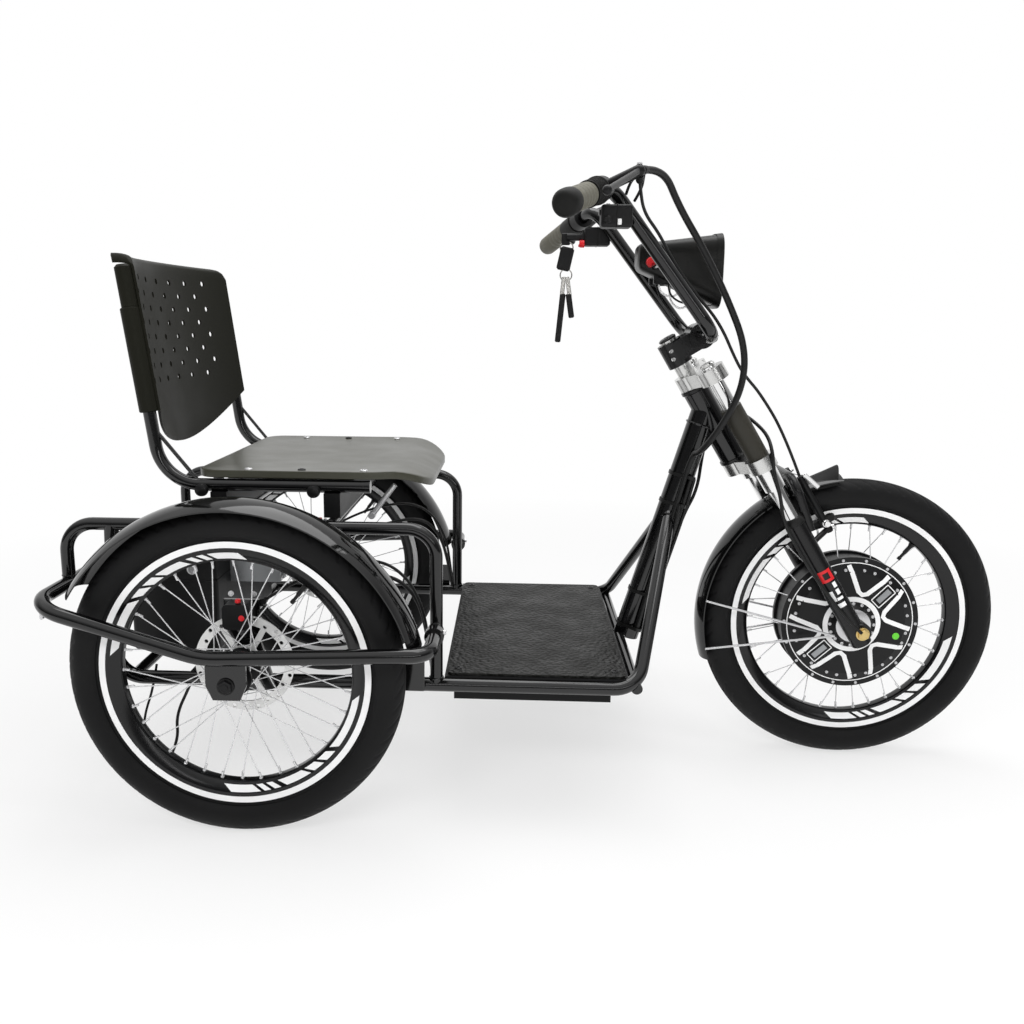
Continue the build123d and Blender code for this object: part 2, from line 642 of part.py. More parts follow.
def seat_section():
    """The seat's profile from the side: flat, with a rear lip and a front edge that rolls down."""
    top = SEAT_Z
    under = SEAT_Z - SEAT_SHELL
    low = SEAT_Z - SEAT_FRONT_DROP
    front = SEAT_FRONT_X + FIT
    roll = front - SEAT_FLAT_X
    rear = SEAT_REAR_X - SEAT_SHELL
    lip = SEAT_REAR_X + SEAT_SHELL
    bend = ThreePointArc((SEAT_FLAT_X, 0, top), (SEAT_FLAT_X + 0.64 * roll, 0, top - 0.25 * SEAT_FRONT_DROP),
                         (front, 0, low))
    edge = Line((front, 0, low), (front - SEAT_SHELL, 0, low))
    middle = (SEAT_FLAT_X + 0.52 * roll, 0, under - 0.2 * SEAT_FRONT_DROP)
    inner = ThreePointArc((front - SEAT_SHELL, 0, low), middle, (SEAT_FLAT_X, 0, under))
    back = Polyline((SEAT_FLAT_X, 0, under), (lip, 0, under), (lip, 0, top - SEAT_LIP),
                    (rear, 0, top - SEAT_LIP), (rear, 0, top), (SEAT_FLAT_X, 0, top))
    return make_face([bend, edge, inner] + list(back.edges()))


def seat_pan():
    """A moulded seat: that profile run across, with a lip along each side, trimmed to rounded corners."""
    shell = extrude(seat_section(), amount=SEAT_WIDTH / 2 + SEAT_SHELL, dir=(0, 1, 0), both=True)
    lip = Box(SEAT_FLAT_X - SEAT_REAR_X, 2 * SEAT_SHELL, SEAT_LIP, align=(Align.MIN, Align.CENTER, Align.MIN))
    lip = Pos(SEAT_REAR_X, SEAT_WIDTH / 2, SEAT_Z - SEAT_LIP) * lip
    whole = shell + lip + mirror(lip, about=Plane.XZ)
    length = SEAT_FRONT_X - SEAT_REAR_X
    trim = Pos((SEAT_REAR_X + SEAT_FRONT_X) / 2, 0, SEAT_Z) * Box(length, SEAT_WIDTH, SEAT_WIDTH)
    trim = fillet(trim.edges().filter_by(Axis.Z).group_by(Axis.X)[0], SEAT_REAR_ROUND)
    trim = fillet(trim.edges().filter_by(Axis.Z).group_by(Axis.X)[-1], SEAT_FRONT_ROUND)
    return whole & trim


def back_line():
    """The line of the seat's rear tubes, from the bend under the seat to the backrest's top."""
    low = Vector(SEAT_TUBE_BEND_X, SEAT_TUBE_Y, SEAT_TUBE_Z)
    high = Vector(BACK_TOP_X, SEAT_TUBE_Y, BACK_TOP_Z)
    return low, high


def back_line_at(z):
    """The point of that line at one height."""
    low, high = back_line()
    return low + (high - low) * ((z - low.Z) / (high.Z - low.Z))


def seat_frame():
    """The bent tubes under the seat and up behind it, with a thin brace across each bend."""
    low, high = back_line()
    end = back_line_at(BACK_TOP_Z - SLEEVE_DROP) - (high - low).normalized() * SLEEVE_CAP
    points = [(SEAT_TUBE_FRONT_X, SEAT_TUBE_Y, SEAT_TUBE_Z), tuple(low), tuple(end)]
    side = tube(points, [SEAT_TUBE_BEND], SEAT_TUBE_DIAMETER)
    upper = back_line_at(SEAT_TUBE_Z + BRACE_UP)
    lower = Vector(SEAT_TUBE_BEND_X + BRACE_ALONG, SEAT_TUBE_Y, SEAT_TUBE_Z)
    side += rod(upper, lower, BRACE_DIAMETER)
    return pair(side)


def seat_mount():
    """Two beams that carry the seat's tubes on the cross tubes."""
    low = LOOP_Z + CROSS_DIAMETER / 2
    high = SEAT_TUBE_Z - SEAT_TUBE_DIAMETER / 2
    beams = []
    for x in SEAT_BEAM_X:
        beam = Box(SEAT_BEAM_WIDTH, 2 * SEAT_TUBE_Y + SEAT_TUBE_DIAMETER, high - low)
        beams.append(cut(Pos(x, 0, (low + high) / 2) * beam, cross_bars(FIT)))
    return group(*beams)


def backrest():
    """A curved, drilled sheet with a sleeve at each side for the seat's tubes, and a rib above each sleeve."""
    low = back_line_at(BACK_SIDE_BOTTOM_Z)
    high = back_line_at(BACK_TOP_Z - SLEEVE_DROP)
    rise = high - low
    along = rise.normalized()
    ahead = Vector(along.Z, 0, -along.X) * ((SLEEVE_DIAMETER - BACK_RIB_DIAMETER) / 2)
    sleeve = rod(low, high, SLEEVE_DIAMETER)
    rib_top = back_line_at(BACK_TOP_Z - BACK_RIB_DROP) + ahead
    sleeve += rod(high - along * (SLEEVE_CAP / 2) + ahead, rib_top, BACK_RIB_DIAMETER)
    bore = rod(low - rise, high - along * (SLEEVE_CAP - FIT), SEAT_TUBE_DIAMETER + 2 * FIT)
    whole = back_sheet(low, back_line_at(BACK_TOP_Z) - low) - back_holes()
    whole += [sleeve, mirror(sleeve, about=Plane.XZ)]
    return whole - [bore, mirror(bore, about=Plane.XZ)]


def back_sheet(low, rise):
    """The curved sheet from side to side, in front of the sleeves, cut to its front outline."""
    tilt = Plane(origin=(low.X, 0, low.Z), x_dir=(0, 1, 0), z_dir=rise)
    half = BACK_HALF
    front = -SLEEVE_DIAMETER / 2 - BACK_COVER
    rear = front + BACK_SHEET
    inner = ThreePointArc((-half, front), (0, front + BACK_SAG), (half, front))
    outer = ThreePointArc((-half, rear), (0, rear + BACK_SAG), (half, rear))
    ends = [Line((-half, front), (-half, rear)), Line((half, front), (half, rear))]
    section = make_face([inner, outer] + ends)
    below = 2 * (BACK_SIDE_BOTTOM_Z - BACK_MID_BOTTOM_Z)
    sheet = tilt * (Pos(0, 0, -below) * extrude(section, amount=rise.length + below + 2 * BACK_CROWN))
    return sheet & back_outline()


def back_outline():
    """The backrest's front outline, run through from front to back."""
    half = BACK_HALF
    low = BACK_SIDE_BOTTOM_Z
    high = BACK_TOP_Z
    bottom = ThreePointArc((0, -half, low), (0, 0, BACK_MID_BOTTOM_Z), (0, half, low))
    top = ThreePointArc((0, -half, high), (0, 0, high + BACK_CROWN), (0, half, high))
    sides = [Line((0, -half, low), (0, -half, high)), Line((0, half, low), (0, half, high))]
    block = extrude(make_face([bottom, top] + sides), amount=WHEELBASE, dir=(-1, 0, 0))
    return fillet(block.edges().filter_by(Axis.X).group_by(Axis.Z)[-1], BACK_ROUND)


def back_holes():
    """Staggered rows of round holes through the upper part of the backrest."""
    holes = []
    for row in range(BACK_HOLE_ROWS):
        shift = -0.25 if row % 2 else 0.25
        z = BACK_TOP_Z - BACK_HOLE_TOP - row * BACK_HOLE_PITCH_Z
        x = back_line_at(z).X - BACK_SAG / 2
        for column in range(BACK_HOLE_COLUMNS):
            y = (column - (BACK_HOLE_COLUMNS - 1) / 2 + shift) * BACK_HOLE_PITCH_Y
            holes.append(Pos(x, y, z) * Rot(0, 90, 0) * Cylinder(BACK_HOLE_DIAMETER / 2, 4 * BACK_SAG))
    return holes


def battery_box():
    """The battery's case on its two cross tubes."""
    case = Box(BATTERY_LENGTH, BATTERY_WIDTH, BATTERY_HEIGHT, align=(Align.MAX, Align.CENTER, Align.MIN))
    case = fillet(case.edges(), BATTERY_ROUND)
    return Pos(BATTERY_FRONT_X, 0, RAIL_Z + CROSS_DIAMETER / 2 + FIT) * case


def controller():
    """A finned aluminium box on the front of the battery's case."""
    align = (Align.MIN, Align.CENTER, Align.MIN)
    box = Box(CONTROLLER_LENGTH, CONTROLLER_WIDTH, CONTROLLER_HEIGHT, align=align)
    pitch = CONTROLLER_WIDTH / CONTROLLER_FINS
    groove = Box(CONTROLLER_FIN, pitch / 2, CONTROLLER_HEIGHT, align=(Align.MAX, Align.CENTER, Align.MIN))
    for number in range(CONTROLLER_FINS):
        y = (number - (CONTROLLER_FINS - 1) / 2) * pitch
        box -= Pos(CONTROLLER_LENGTH, y, 0) * groove
    return Pos(BATTERY_FRONT_X + FIT, 0, LOOP_Z - CONTROLLER_DROP) * box


def fender(radius, width, crown, angles, centre_z):
    """A crowned strip of sheet round a wheel, between two angles from straight ahead."""
    half = width / 2
    edge = radius - crown
    under = edge - FENDER_SHEET
    outer = ThreePointArc((edge, -half), (radius, 0), (edge, half))
    inner = ThreePointArc((under, -half), (radius - FENDER_SHEET, 0), (under, half))
    ends = [Line((edge, -half), (under, -half)), Line((edge, half), (under, half))]
    section = make_face([outer, inner] + ends)
    start, stop = angles
    strip = revolve(Rot(0, -start, 0) * section, Axis.Y, -(stop - start))
    return Pos(0, 0, centre_z) * strip


def rear_fenders():
    """The sheet over each rear wheel, with two short rods to the side loop beside it."""
    centre_z = AXLE_Z - REAR_FENDER_DROP
    sheet = fender(REAR_FENDER_RADIUS, REAR_FENDER_WIDTH, REAR_FENDER_CROWN, REAR_FENDER_ANGLES, centre_z)
    sheet = Pos(0, HALF_TRACK, 0) * sheet
    edge = REAR_FENDER_RADIUS - REAR_FENDER_CROWN - FENDER_SHEET / 2
    rise = LOOP_Z - centre_z
    reach = sqrt(edge * edge - rise * rise)
    inner_y = HALF_TRACK - REAR_FENDER_WIDTH / 2
    loop_y = RAIL_Y + LOOP_DIAMETER / 2 + FIT
    for x in (-reach, reach):
        sheet += rod((x, loop_y, LOOP_Z), (x, inner_y + FENDER_BRACE_IN, LOOP_Z), BRACE_DIAMETER)
    return pair(sheet)


def fork_crowns():
    """The two crowns on the steerer: each holds both legs, the upper one under the stem."""
    eye = CROWN_EYE_DIAMETER / 2
    outline = Circle(eye) + Pos(CROWN_OFFSET, LEG_Y) * Circle(eye) + Pos(CROWN_OFFSET, -LEG_Y) * Circle(eye)
    rear = CROWN_OFFSET - 0.7 * eye
    front = CROWN_OFFSET + 0.7 * eye
    web = [(-0.7 * eye, 0), (rear, LEG_Y), (front, LEG_Y)]
    web += [(CROWN_OFFSET + eye / 2, 0), (front, -LEG_Y), (rear, -LEG_Y)]
    outline += make_face(Polyline(*web, close=True))
    for side in (LEG_Y, -LEG_Y):
        outline -= Pos(CROWN_OFFSET, side) * Circle(STANCHION_DIAMETER / 2 + FIT / 2)
    crown = extrude(outline, amount=CROWN_THICKNESS / 2, both=True)
    steerer_low = CROWN_LOW - CROWN_THICKNESS / 2
    steerer_top = STEM_UP + STEM_DIAMETER / 2
    steerer = Pos(0, 0, steerer_low) * Cylinder(STEERER_DIAMETER / 2, steerer_top - steerer_low, align=LOW)
    return FORK * (steerer + Pos(0, 0, CROWN_LOW) * crown + Pos(0, 0, CROWN_HIGH) * crown)


def leg_part(bottom, top, outer, inner):
    """One sleeve round a fork leg, on both sides."""
    part = Cylinder(outer / 2, top - bottom, align=LOW)
    if inner:
        part -= Cylinder(inner / 2, top - bottom, align=LOW)
    return pair(FORK * (Pos(CROWN_OFFSET, LEG_Y, bottom) * part))


def stanchions():
    """The bright tubes that run from the lower legs through both crowns."""
    return leg_part(LOWER_TOP, CROWN_HIGH + CROWN_THICKNESS / 2 + STANCHION_END, STANCHION_DIAMETER, 0)


def fork_shoulders():
    """The bright collars under the lower crown."""
    top = CROWN_LOW - CROWN_THICKNESS / 2
    return leg_part(SHOULDER_BOTTOM, top, SHOULDER_DIAMETER, STANCHION_DIAMETER + FIT)


def fork_sleeves():
    """The dark sleeves above the lower crown."""
    bottom = CROWN_LOW + CROWN_THICKNESS / 2
    return leg_part(bottom, SLEEVE_TOP, SHOULDER_DIAMETER, STANCHION_DIAMETER + FIT)


def fork_lowers():
    """The two lower legs with the arch that joins them over the wheel."""
    leg = rod((CROWN_OFFSET, LEG_Y, LOWER_BOTTOM), (CROWN_OFFSET, LEG_Y, LOWER_TOP), LOWER_DIAMETER)
    forward = CROWN_OFFSET + ARCH_FORWARD
    front = CROWN_OFFSET + LOWER_DIAMETER / 2
    foot = LOWER_TOP - 2 * ARCH_DIAMETER
    points = [(front, LEG_Y, foot), (forward, LEG_Y, ARCH_UP)]
    points += [(forward, -LEG_Y, ARCH_UP), (front, -LEG_Y, foot)]
    arch = tube(points, [ARCH_BEND, ARCH_BEND], ARCH_DIAMETER)
    bore = Cylinder(AXLE_DIAMETER / 2 + FIT / 2, 2 * LEG_SPREAD)
    hole = Pos(CROWN_OFFSET + AXLE_OFFSET, 0, 0) * Rot(90, 0, 0) * bore
    return FORK * (leg + mirror(leg, about=Plane.XZ) + arch - hole)


def front_axle():
    """A bar through both legs with a nut at each end."""
    reach = LEG_Y + LOWER_DIAMETER / 2 + FIT
    end = reach + AXLE_NUT
    bar = rod((WHEELBASE, -end, AXLE_Z), (WHEELBASE, end, AXLE_Z), AXLE_DIAMETER)
    for side in (1, -1):
        bar += rod((WHEELBASE, side * reach, AXLE_Z), (WHEELBASE, side * end, AXLE_Z), AXLE_NUT_DIAMETER)
    return bar


def v_brake():
    """A pair of brake arms in front of the legs, each with a pad beside the rim."""
    forward = CROWN_OFFSET + BRAKE_FORWARD
    up = BRAKE_UP
    foot = up - BRAKE_ARM
    pad_y = RIM_WIDTH / 2 + RUN + BRAKE_ARM / 2
    arm = rod((forward, BRAKE_ARM_Y, foot - BRAKE_ARM / 2), (forward, BRAKE_ARM_Y, BRAKE_ARM_TOP), BRAKE_ARM)
    boss = rod((CROWN_OFFSET, LEG_Y, foot), (forward, BRAKE_ARM_Y, foot), BRAKE_ARM * 0.8)
    pad = Pos(forward, pad_y, up) * Box(3 * BRAKE_ARM, BRAKE_ARM, BRAKE_ARM)
    post = rod((forward, pad_y, up), (forward, BRAKE_ARM_Y, up), BRAKE_ARM / 2)
    room = LOWER_DIAMETER + 2 * FIT
    lower = rod((CROWN_OFFSET, LEG_Y, LOWER_BOTTOM), (CROWN_OFFSET, LEG_Y, LOWER_TOP), room)
    return pair(FORK * (arm + boss + pad + post - lower))


def front_fender():
    """The sheet round the rear of the front wheel, held under the fork's arch."""
    sheet = fender(FRONT_FENDER_RADIUS, FRONT_FENDER_WIDTH, FRONT_FENDER_CROWN, FRONT_FENDER_ANGLES, AXLE_Z)
    arch = fork_point(CROWN_OFFSET + ARCH_FORWARD, 0, ARCH_UP)
    axle = Vector(WHEELBASE, 0, AXLE_Z)
    out = (arch - axle).normalized()
    top = arch - out * (ARCH_DIAMETER / 2 + FIT)
    hanger = rod(axle + out * (FRONT_FENDER_RADIUS - FENDER_SHEET), top, ARCH_DIAMETER)
    return Pos(WHEELBASE, 0, 0) * sheet + hanger


def fender_stays():
    """Thin rods from the fork's feet to the lower part of the front fender."""
    start = Vector(WHEELBASE - LOWER_DIAMETER, LEG_Y - LOWER_DIAMETER / 2, AXLE_Z - LOWER_DIAMETER / 2)
    edge = FRONT_FENDER_RADIUS - FRONT_FENDER_CROWN
    side = FRONT_FENDER_WIDTH / 2 + STAY_DIAMETER / 2 + FIT
    rods = []
    for angle in STAY_ANGLES:
        turn = radians(angle)
        end = (WHEELBASE + edge * cos(turn), side, AXLE_Z + edge * sin(turn))
        rods.append(rod(start, end, STAY_DIAMETER))
    return pair(rods[0] + rods[1])


def stem():
    """The block on the steerer's top that clamps the handlebar in front of it."""
    post = Pos(0, 0, STEM_UP - STEM_DROP) * Cylinder(STEM_DIAMETER / 2, STEM_DIAMETER)
    clamp = Pos(STEM_LENGTH, 0, STEM_UP) * Rot(90, 0, 0) * Cylinder(STEM_DIAMETER / 2, STEM_WIDTH)
    bridge = Box(STEM_LENGTH, STEM_DIAMETER, 0.8 * STEM_DIAMETER)
    bridge = Pos(STEM_LENGTH / 2, 0, STEM_UP - STEM_DROP / 2) * bridge
    steerer = Cylinder(STEERER_DIAMETER / 2 + FIT / 2, 4 * STEM_UP)
    bar = Pos(STEM_LENGTH, 0, STEM_UP) * Rot(90, 0, 0) * Cylinder(BAR_DIAMETER / 2 + FIT / 2, 2 * STEM_WIDTH)
    return FORK * (post + bridge + clamp - steerer - bar)


def bar_points():
    """The handlebar's corners on the left: clamp, riser's foot, riser's top and grip end."""
    foot = BAR_CLAMP + Vector(0, RISER_FOOT_Y, 0)
    top = BAR_CLAMP + Vector(-RISER_PULLBACK, RISER_TOP_Y, RISER_RISE)
    end = top + Vector(-GRIP_PULLBACK, GRIP_END_Y - RISER_TOP_Y, -GRIP_DROP)
    return foot, top, end


def handlebar(room=0.0):
    """One bent tube: grips, risers and the clamped middle."""
    left = [tuple(point) for point in reversed(bar_points())]
    right = [(x, -y, z) for x, y, z in reversed(left)]
    return tube(left + right, [BAR_BEND, FOOT_BEND, FOOT_BEND, BAR_BEND], BAR_DIAMETER + 2 * room)


def on_bar(from_end, length, outer, bore=BAR_DIAMETER + 2 * FIT):
    """A sleeve on the left grip's straight, counted from the bar's end inwards."""
    _, top, end = bar_points()
    along = (top - end).normalized()
    return ring(end + along * from_end, along * length, outer, bore)


def grips():
    """A soft grip at each end of the handlebar."""
    return pair(on_bar(0, GRIP_LENGTH, GRIP_DIAMETER))


def throttle():
    """The ribbed twist sleeve inside the right grip."""
    return mirror(on_bar(GRIP_LENGTH + FIT, THROTTLE_LENGTH, THROTTLE_DIAMETER), about=Plane.XZ)


def lever_points():
    """The left lever's place on the bar, its knuckle in front of the bar and the end of its blade."""
    _, top, end = bar_points()
    along = (top - end).normalized()
    centre = end + along * (GRIP_LENGTH + THROTTLE_LENGTH + 2 * FIT + PERCH_LENGTH / 2)
    front = Vector(LEVER_FORWARD, 0, LEVER_RISE)
    front -= along * front.dot(along)
    return centre, centre + front, end + front - Vector(0, 0, LEVER_THICKNESS)


def brake_levers():
    """A clamp and a blade on each side, in front of the grips."""
    _, top, end = bar_points()
    clamp = on_bar(GRIP_LENGTH + THROTTLE_LENGTH + 2 * FIT, PERCH_LENGTH, THROTTLE_DIAMETER)
    clear = rod(end, top, BAR_DIAMETER + 2 * FIT)
    centre, knuckle, blade_end = lever_points()
    body = rod(centre, knuckle, KNUCKLE_DIAMETER) - clear
    blade = rod(knuckle, blade_end, LEVER_THICKNESS)
    ball = Pos(*blade_end) * Sphere(LEVER_THICKNESS * 0.75)
    joint = Pos(*knuckle) * Sphere(KNUCKLE_DIAMETER / 2)
    return pair(clamp + body + joint + blade + ball)


def switch_place():
    """The middle of the left control box."""
    _, top, _ = bar_points()
    return top + Vector(*SWITCH_PLACE)


def switch_boxes():
    """A control box under each riser's top, cut to the bar: buttons on the right, the key on the left."""
    box = Box(*SWITCH_SIZE)
    box = fillet(box.edges(), SWITCH_ROUND)
    return pair(cut(Pos(*switch_place()) * box, [handlebar(FIT)]))


def lamp_plane(place, size):
    """One upright section of the lamp's shell, from its place behind and above the bar's clamp."""
    back, up = place
    width, height = size
    plane = Plane(origin=(BAR_CLAMP.X + back, 0, BAR_CLAMP.Z + up), x_dir=(0, 1, 0), z_dir=(1, 0, 0))
    return plane * RectangleRounded(width, height, min(width, height) * 0.3)


def headlamp():
    """The lamp's tapering shell between the risers."""
    return loft([lamp_plane(LAMP_REAR, LAMP_REAR_SIZE), lamp_plane(LAMP_FRONT, LAMP_FRONT_SIZE)])


def lamp_lens():
    """The clear front of the lamp."""
    width, height = LAMP_FRONT_SIZE
    face = lamp_plane(LAMP_FRONT, (width - 2 * LENS_BORDER, height - 2 * LENS_BORDER))
    return extrude(face, amount=LAMP_LENS, dir=(1, 0, 0))


def lamp_bracket(cutters):
    """A bar between the risers that carries the lamp."""
    foot, top, _ = bar_points()
    here = foot + (top - foot) * 0.5
    bar = rod((here.X, -here.Y, here.Z), (here.X, here.Y, here.Z), LAMP_BAR_DIAMETER)
    return cut(bar, cutters)


def key_bunch():
    """The key in its switch on the left, with the fob and two keys that hang from it."""
    face = switch_place() - Vector(SWITCH_SIZE[0] / 2 + FIT, 0, 0)
    end = face - Vector(KEY_BARREL, 0, 0)
    bunch = rod(face, end, KEY_BARREL_DIAMETER)
    hang = (Align.CENTER, Align.CENTER, Align.MAX)
    bunch += Pos(*end) * Box(*KEY_FOB, align=hang)
    thick, wide = KEY_BLADE
    top = KEY_FOB[2] - wide
    for number, drop in enumerate(KEY_ENDS):
        x = end.X + (0.5 - number) * thick
        bunch += Pos(x, end.Y, end.Z - top) * Box(thick, wide, drop - top, align=hang)
    return bunch


def cord(points, diameter):
    """A round cable along its points, each corner rounded as far as its two runs allow."""
    corners = [Vector(point) for point in points]
    bends = []
    for before, here, after in zip(corners, corners[1:], corners[2:]):
        shorter = min((here - before).length, (after - here).length)
        turn = (here - before).get_angle(after - here)
        bends.append(0.45 * shorter / tan(radians(turn / 2)))
    return tube([tuple(point) for point in corners], bends, diameter)


def from_knuckle(route):
    """A route from the middle of the bar's clamp, led out of the right lever's knuckle."""
    _, knuckle, _ = lever_points()
    knuckle = Vector(knuckle.X, -knuckle.Y, knuckle.Z)
    points = [BAR_CLAMP + Vector(*point) for point in route]
    out = (points[0] - knuckle).normalized()
    return [knuckle + out * (KNUCKLE_DIAMETER / 2 + FIT)] + points


def brake_cable():
    """The front brake's cable: from the right lever down the riser to the top of the right brake arm."""
    end = fork_point(CROWN_OFFSET + BRAKE_FORWARD, -BRAKE_ARM_Y, BRAKE_ARM_TOP + BRAKE_CABLE_DIAMETER / 4)
    return cord(from_knuckle(BRAKE_CABLE_ROUTE) + [end], BRAKE_CABLE_DIAMETER)


def loom_points():
    """The loom's corners: from the right lever, outside the fork's leg and down beside the down tube."""
    side = (DOWN_TUBE_DIAMETER + LOOM_DIAMETER) / 2 + FIT
    top = CROWN_HIGH * RAKE_COS + FORK_Z
    held = [down_tube_at(RAIL_Z + share * (top - RAIL_Z)) - Vector(0, side, 0) for share in LOOM_HOLD]
    return from_knuckle(LOOM_ROUTE) + held


def cable_loom():
    """The thick cable from the right controls into the frame."""
    return cord(loom_points(), LOOM_DIAMETER)


def placed(shape):
    """The piece with X counted from the middle of the trike's length."""
    return Pos(-MIDDLE_X, 0, 0) * shape


def wheel_nodes():
    """The pieces of the three wheels, by node name."""
    nodes = {}
    rear_spokes = spokes(HUB_FLANGE_DIAMETER / 2, HUB_FLANGE_SPREAD, REAR_LACING_ANGLE)
    disc = Pos(0, -ROTOR_OFFSET, 0) * rotor()
    hub = rear_hub()
    for name, side in (("left", 1), ("right", -1)):
        place = Pos(0, side * HALF_TRACK, AXLE_Z)
        nodes[f"rear_{name}_tyre"] = place * tyre()
        nodes[f"rear_{name}_rim"] = place * rim()
        nodes[f"rear_{name}_spokes"] = place * rear_spokes
        nodes[f"rear_{name}_rotor"] = place * (disc if side > 0 else mirror(disc, about=Plane.XZ))
        nodes[f"rear_{name}_hub"] = place * hub - nodes[f"rear_{name}_rotor"]
    front = Pos(WHEELBASE, 0, AXLE_Z)
    nodes["front_tyre"] = front * tyre()
    nodes["front_rim"] = front * rim()
    nodes["front_spokes"] = front * spokes(MOTOR_DIAMETER / 2, MOTOR_FLANGE_SPREAD, FRONT_LACING_ANGLE)
    nodes["hub_motor"] = front * hub_motor()
    return nodes


def frame_nodes():
    """The pieces of the frame, the seat and what they carry, by node name."""
    nodes = {}
    nodes["wheel_guard"] = wheel_guard()
    nodes["down_tube"] = down_tube()
    nodes["head_tube"] = head_tube()
    nodes["side_loops"] = side_loops()
    nodes["floor_rails"] = floor_rails()
    nodes["cross_tubes"] = cross_tubes()
    nodes["dropouts"] = dropouts()
    nodes["rear_axles"] = rear_axles()
    nodes["brake_calipers"] = brake_calipers()
    nodes["footboard"] = footboard()
    nodes["foot_mat"] = foot_mat()
    nodes["under_tray"] = under_tray()
    nodes["seat_frame"] = seat_frame()
    nodes["seat_mount"] = seat_mount()
    nodes["seat_pan"] = seat_pan()
    nodes["backrest"] = backrest()
    nodes["battery_box"] = battery_box()
    nodes["controller"] = controller()
    nodes["rear_fenders"] = rear_fenders()
    return nodes


def steering_nodes():
    """The pieces that turn with the handlebar, by node name."""
    bar = handlebar()
    lamp = headlamp()
    return {
        "fork_crowns": fork_crowns(),
        "stanchions": stanchions(),
        "fork_shoulders": fork_shoulders(),
        "fork_sleeves": fork_sleeves(),
        "fork_lowers": fork_lowers(),
        "front_axle": front_axle(),
        "v_brake": v_brake(),
        "front_fender": front_fender(),
        "fender_stays": fender_stays(),
        "stem": stem(),
        "handlebar": bar,
        "grips": grips(),
        "throttle": throttle(),
        "brake_levers": brake_levers(),
        "switch_boxes": switch_boxes(),
        "headlamp": lamp,
        "lamp_lens": lamp_lens(),
        "lamp_bracket": lamp_bracket([bar, lamp]),
        "key_bunch": key_bunch(),
        "brake_cable": brake_cable(),
        "cable_loom": cable_loom(),
    }


def main():
    os.makedirs("parts", exist_ok=True)
    nodes = {**frame_nodes(), **wheel_nodes(), **steering_nodes()}
    for name, shape in nodes.items():
        export_step(placed(shape), f"parts/{name}.step")


if __name__ == "__main__":
    main()
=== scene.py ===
import json
from math import cos, pi, radians, sin

import bmesh
import bpy
from mathutils import Matrix, Vector

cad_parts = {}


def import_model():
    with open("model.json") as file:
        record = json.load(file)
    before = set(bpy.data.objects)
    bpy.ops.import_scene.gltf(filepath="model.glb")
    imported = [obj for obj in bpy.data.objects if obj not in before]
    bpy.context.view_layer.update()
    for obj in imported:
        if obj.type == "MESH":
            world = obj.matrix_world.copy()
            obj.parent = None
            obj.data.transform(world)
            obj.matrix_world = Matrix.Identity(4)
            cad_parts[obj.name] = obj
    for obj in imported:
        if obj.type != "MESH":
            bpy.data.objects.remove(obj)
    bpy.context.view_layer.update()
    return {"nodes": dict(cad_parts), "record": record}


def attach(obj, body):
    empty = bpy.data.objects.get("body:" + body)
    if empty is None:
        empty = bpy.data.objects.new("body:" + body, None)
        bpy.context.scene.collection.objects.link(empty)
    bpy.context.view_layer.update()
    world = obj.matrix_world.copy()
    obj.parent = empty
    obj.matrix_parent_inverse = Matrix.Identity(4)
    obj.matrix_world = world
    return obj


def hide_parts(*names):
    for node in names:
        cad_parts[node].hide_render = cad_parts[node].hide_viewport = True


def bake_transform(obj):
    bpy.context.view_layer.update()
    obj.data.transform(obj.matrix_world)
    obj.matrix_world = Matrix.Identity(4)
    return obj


# The dressed electric trike. Sizes are millimetres, counted as in the part's source: X forward from the
# rear axle, Y to the left and Z up from the ground. at() turns a place into the row frame's metres.

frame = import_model()

MM = 0.001
MIDDLE_X = 490.0                    # the row frame's middle, ahead of the rear axle
FORWARD = Vector((1, 0, 0))
LEFT = Vector((0, 1, 0))
UP = Vector((0, 0, 1))

# The part's main sizes
FIT = 0.3                           # between pieces that sit on each other
WHEELBASE = 1020.0
HALF_TRACK = 320.0
AXLE_Z = 257.0
RIM_RADIUS = 208.0
RIM_INNER = 176.0
RIM_HALF = 16.0
SPOKE_COUNT = 36
RAIL_Y = 252.7
RAIL_Z = 216.0
LOOP_Z = 468.0
POST_X = 297.0
REAR_X = -286.0
SEAT_Z = 550.0
LEG_Y = 71.0
LEG_FORWARD = 26.0
LOWER_RADIUS = 17.0
LOWER_TOP = 234.0
CROWN_LOW = 348.0
CROWN_HIGH = 521.0
STEM_UP = 580.0
DOWN_TUBE_FOOT = (626.0, 0.0, 216.0)
DOWN_TUBE_TOP = (749.8, 0.0, 636.8)
DOWN_TUBE_RADIUS = 22.5

# The steering frame: forward of the steering axis, to the left, and up along it from the axle
RAKE = radians(31.5)
AXLE_AHEAD = 32.0
FORK_X = WHEELBASE - AXLE_AHEAD * cos(RAKE)
FORK_Z = AXLE_Z - AXLE_AHEAD * sin(RAKE)
FORK_UP = Vector((-sin(RAKE), 0, cos(RAKE)))
FORK_AHEAD = Vector((cos(RAKE), 0, sin(RAKE)))

# Handlebar
CLAMP_AHEAD = 50.0
BAR_CLAMP = (
    FORK_X + CLAMP_AHEAD * cos(RAKE) - STEM_UP * sin(RAKE),
    FORK_Z + CLAMP_AHEAD * sin(RAKE) + STEM_UP * cos(RAKE),
)
RISER_TOP = (-176.0, 138.0, 229.0)  # from the bar's clamp, on the left
GRIP_RUN = (-80.0, 192.0, -52.0)    # from the riser's top to the bar's end
GRIP_LENGTH = 100.0
THROTTLE_LENGTH = 46.0
PERCH_LENGTH = 22.0
LEVER_AHEAD = Vector((66.0, 0.0, 30.0))
KNUCKLE_RADIUS = 9.0

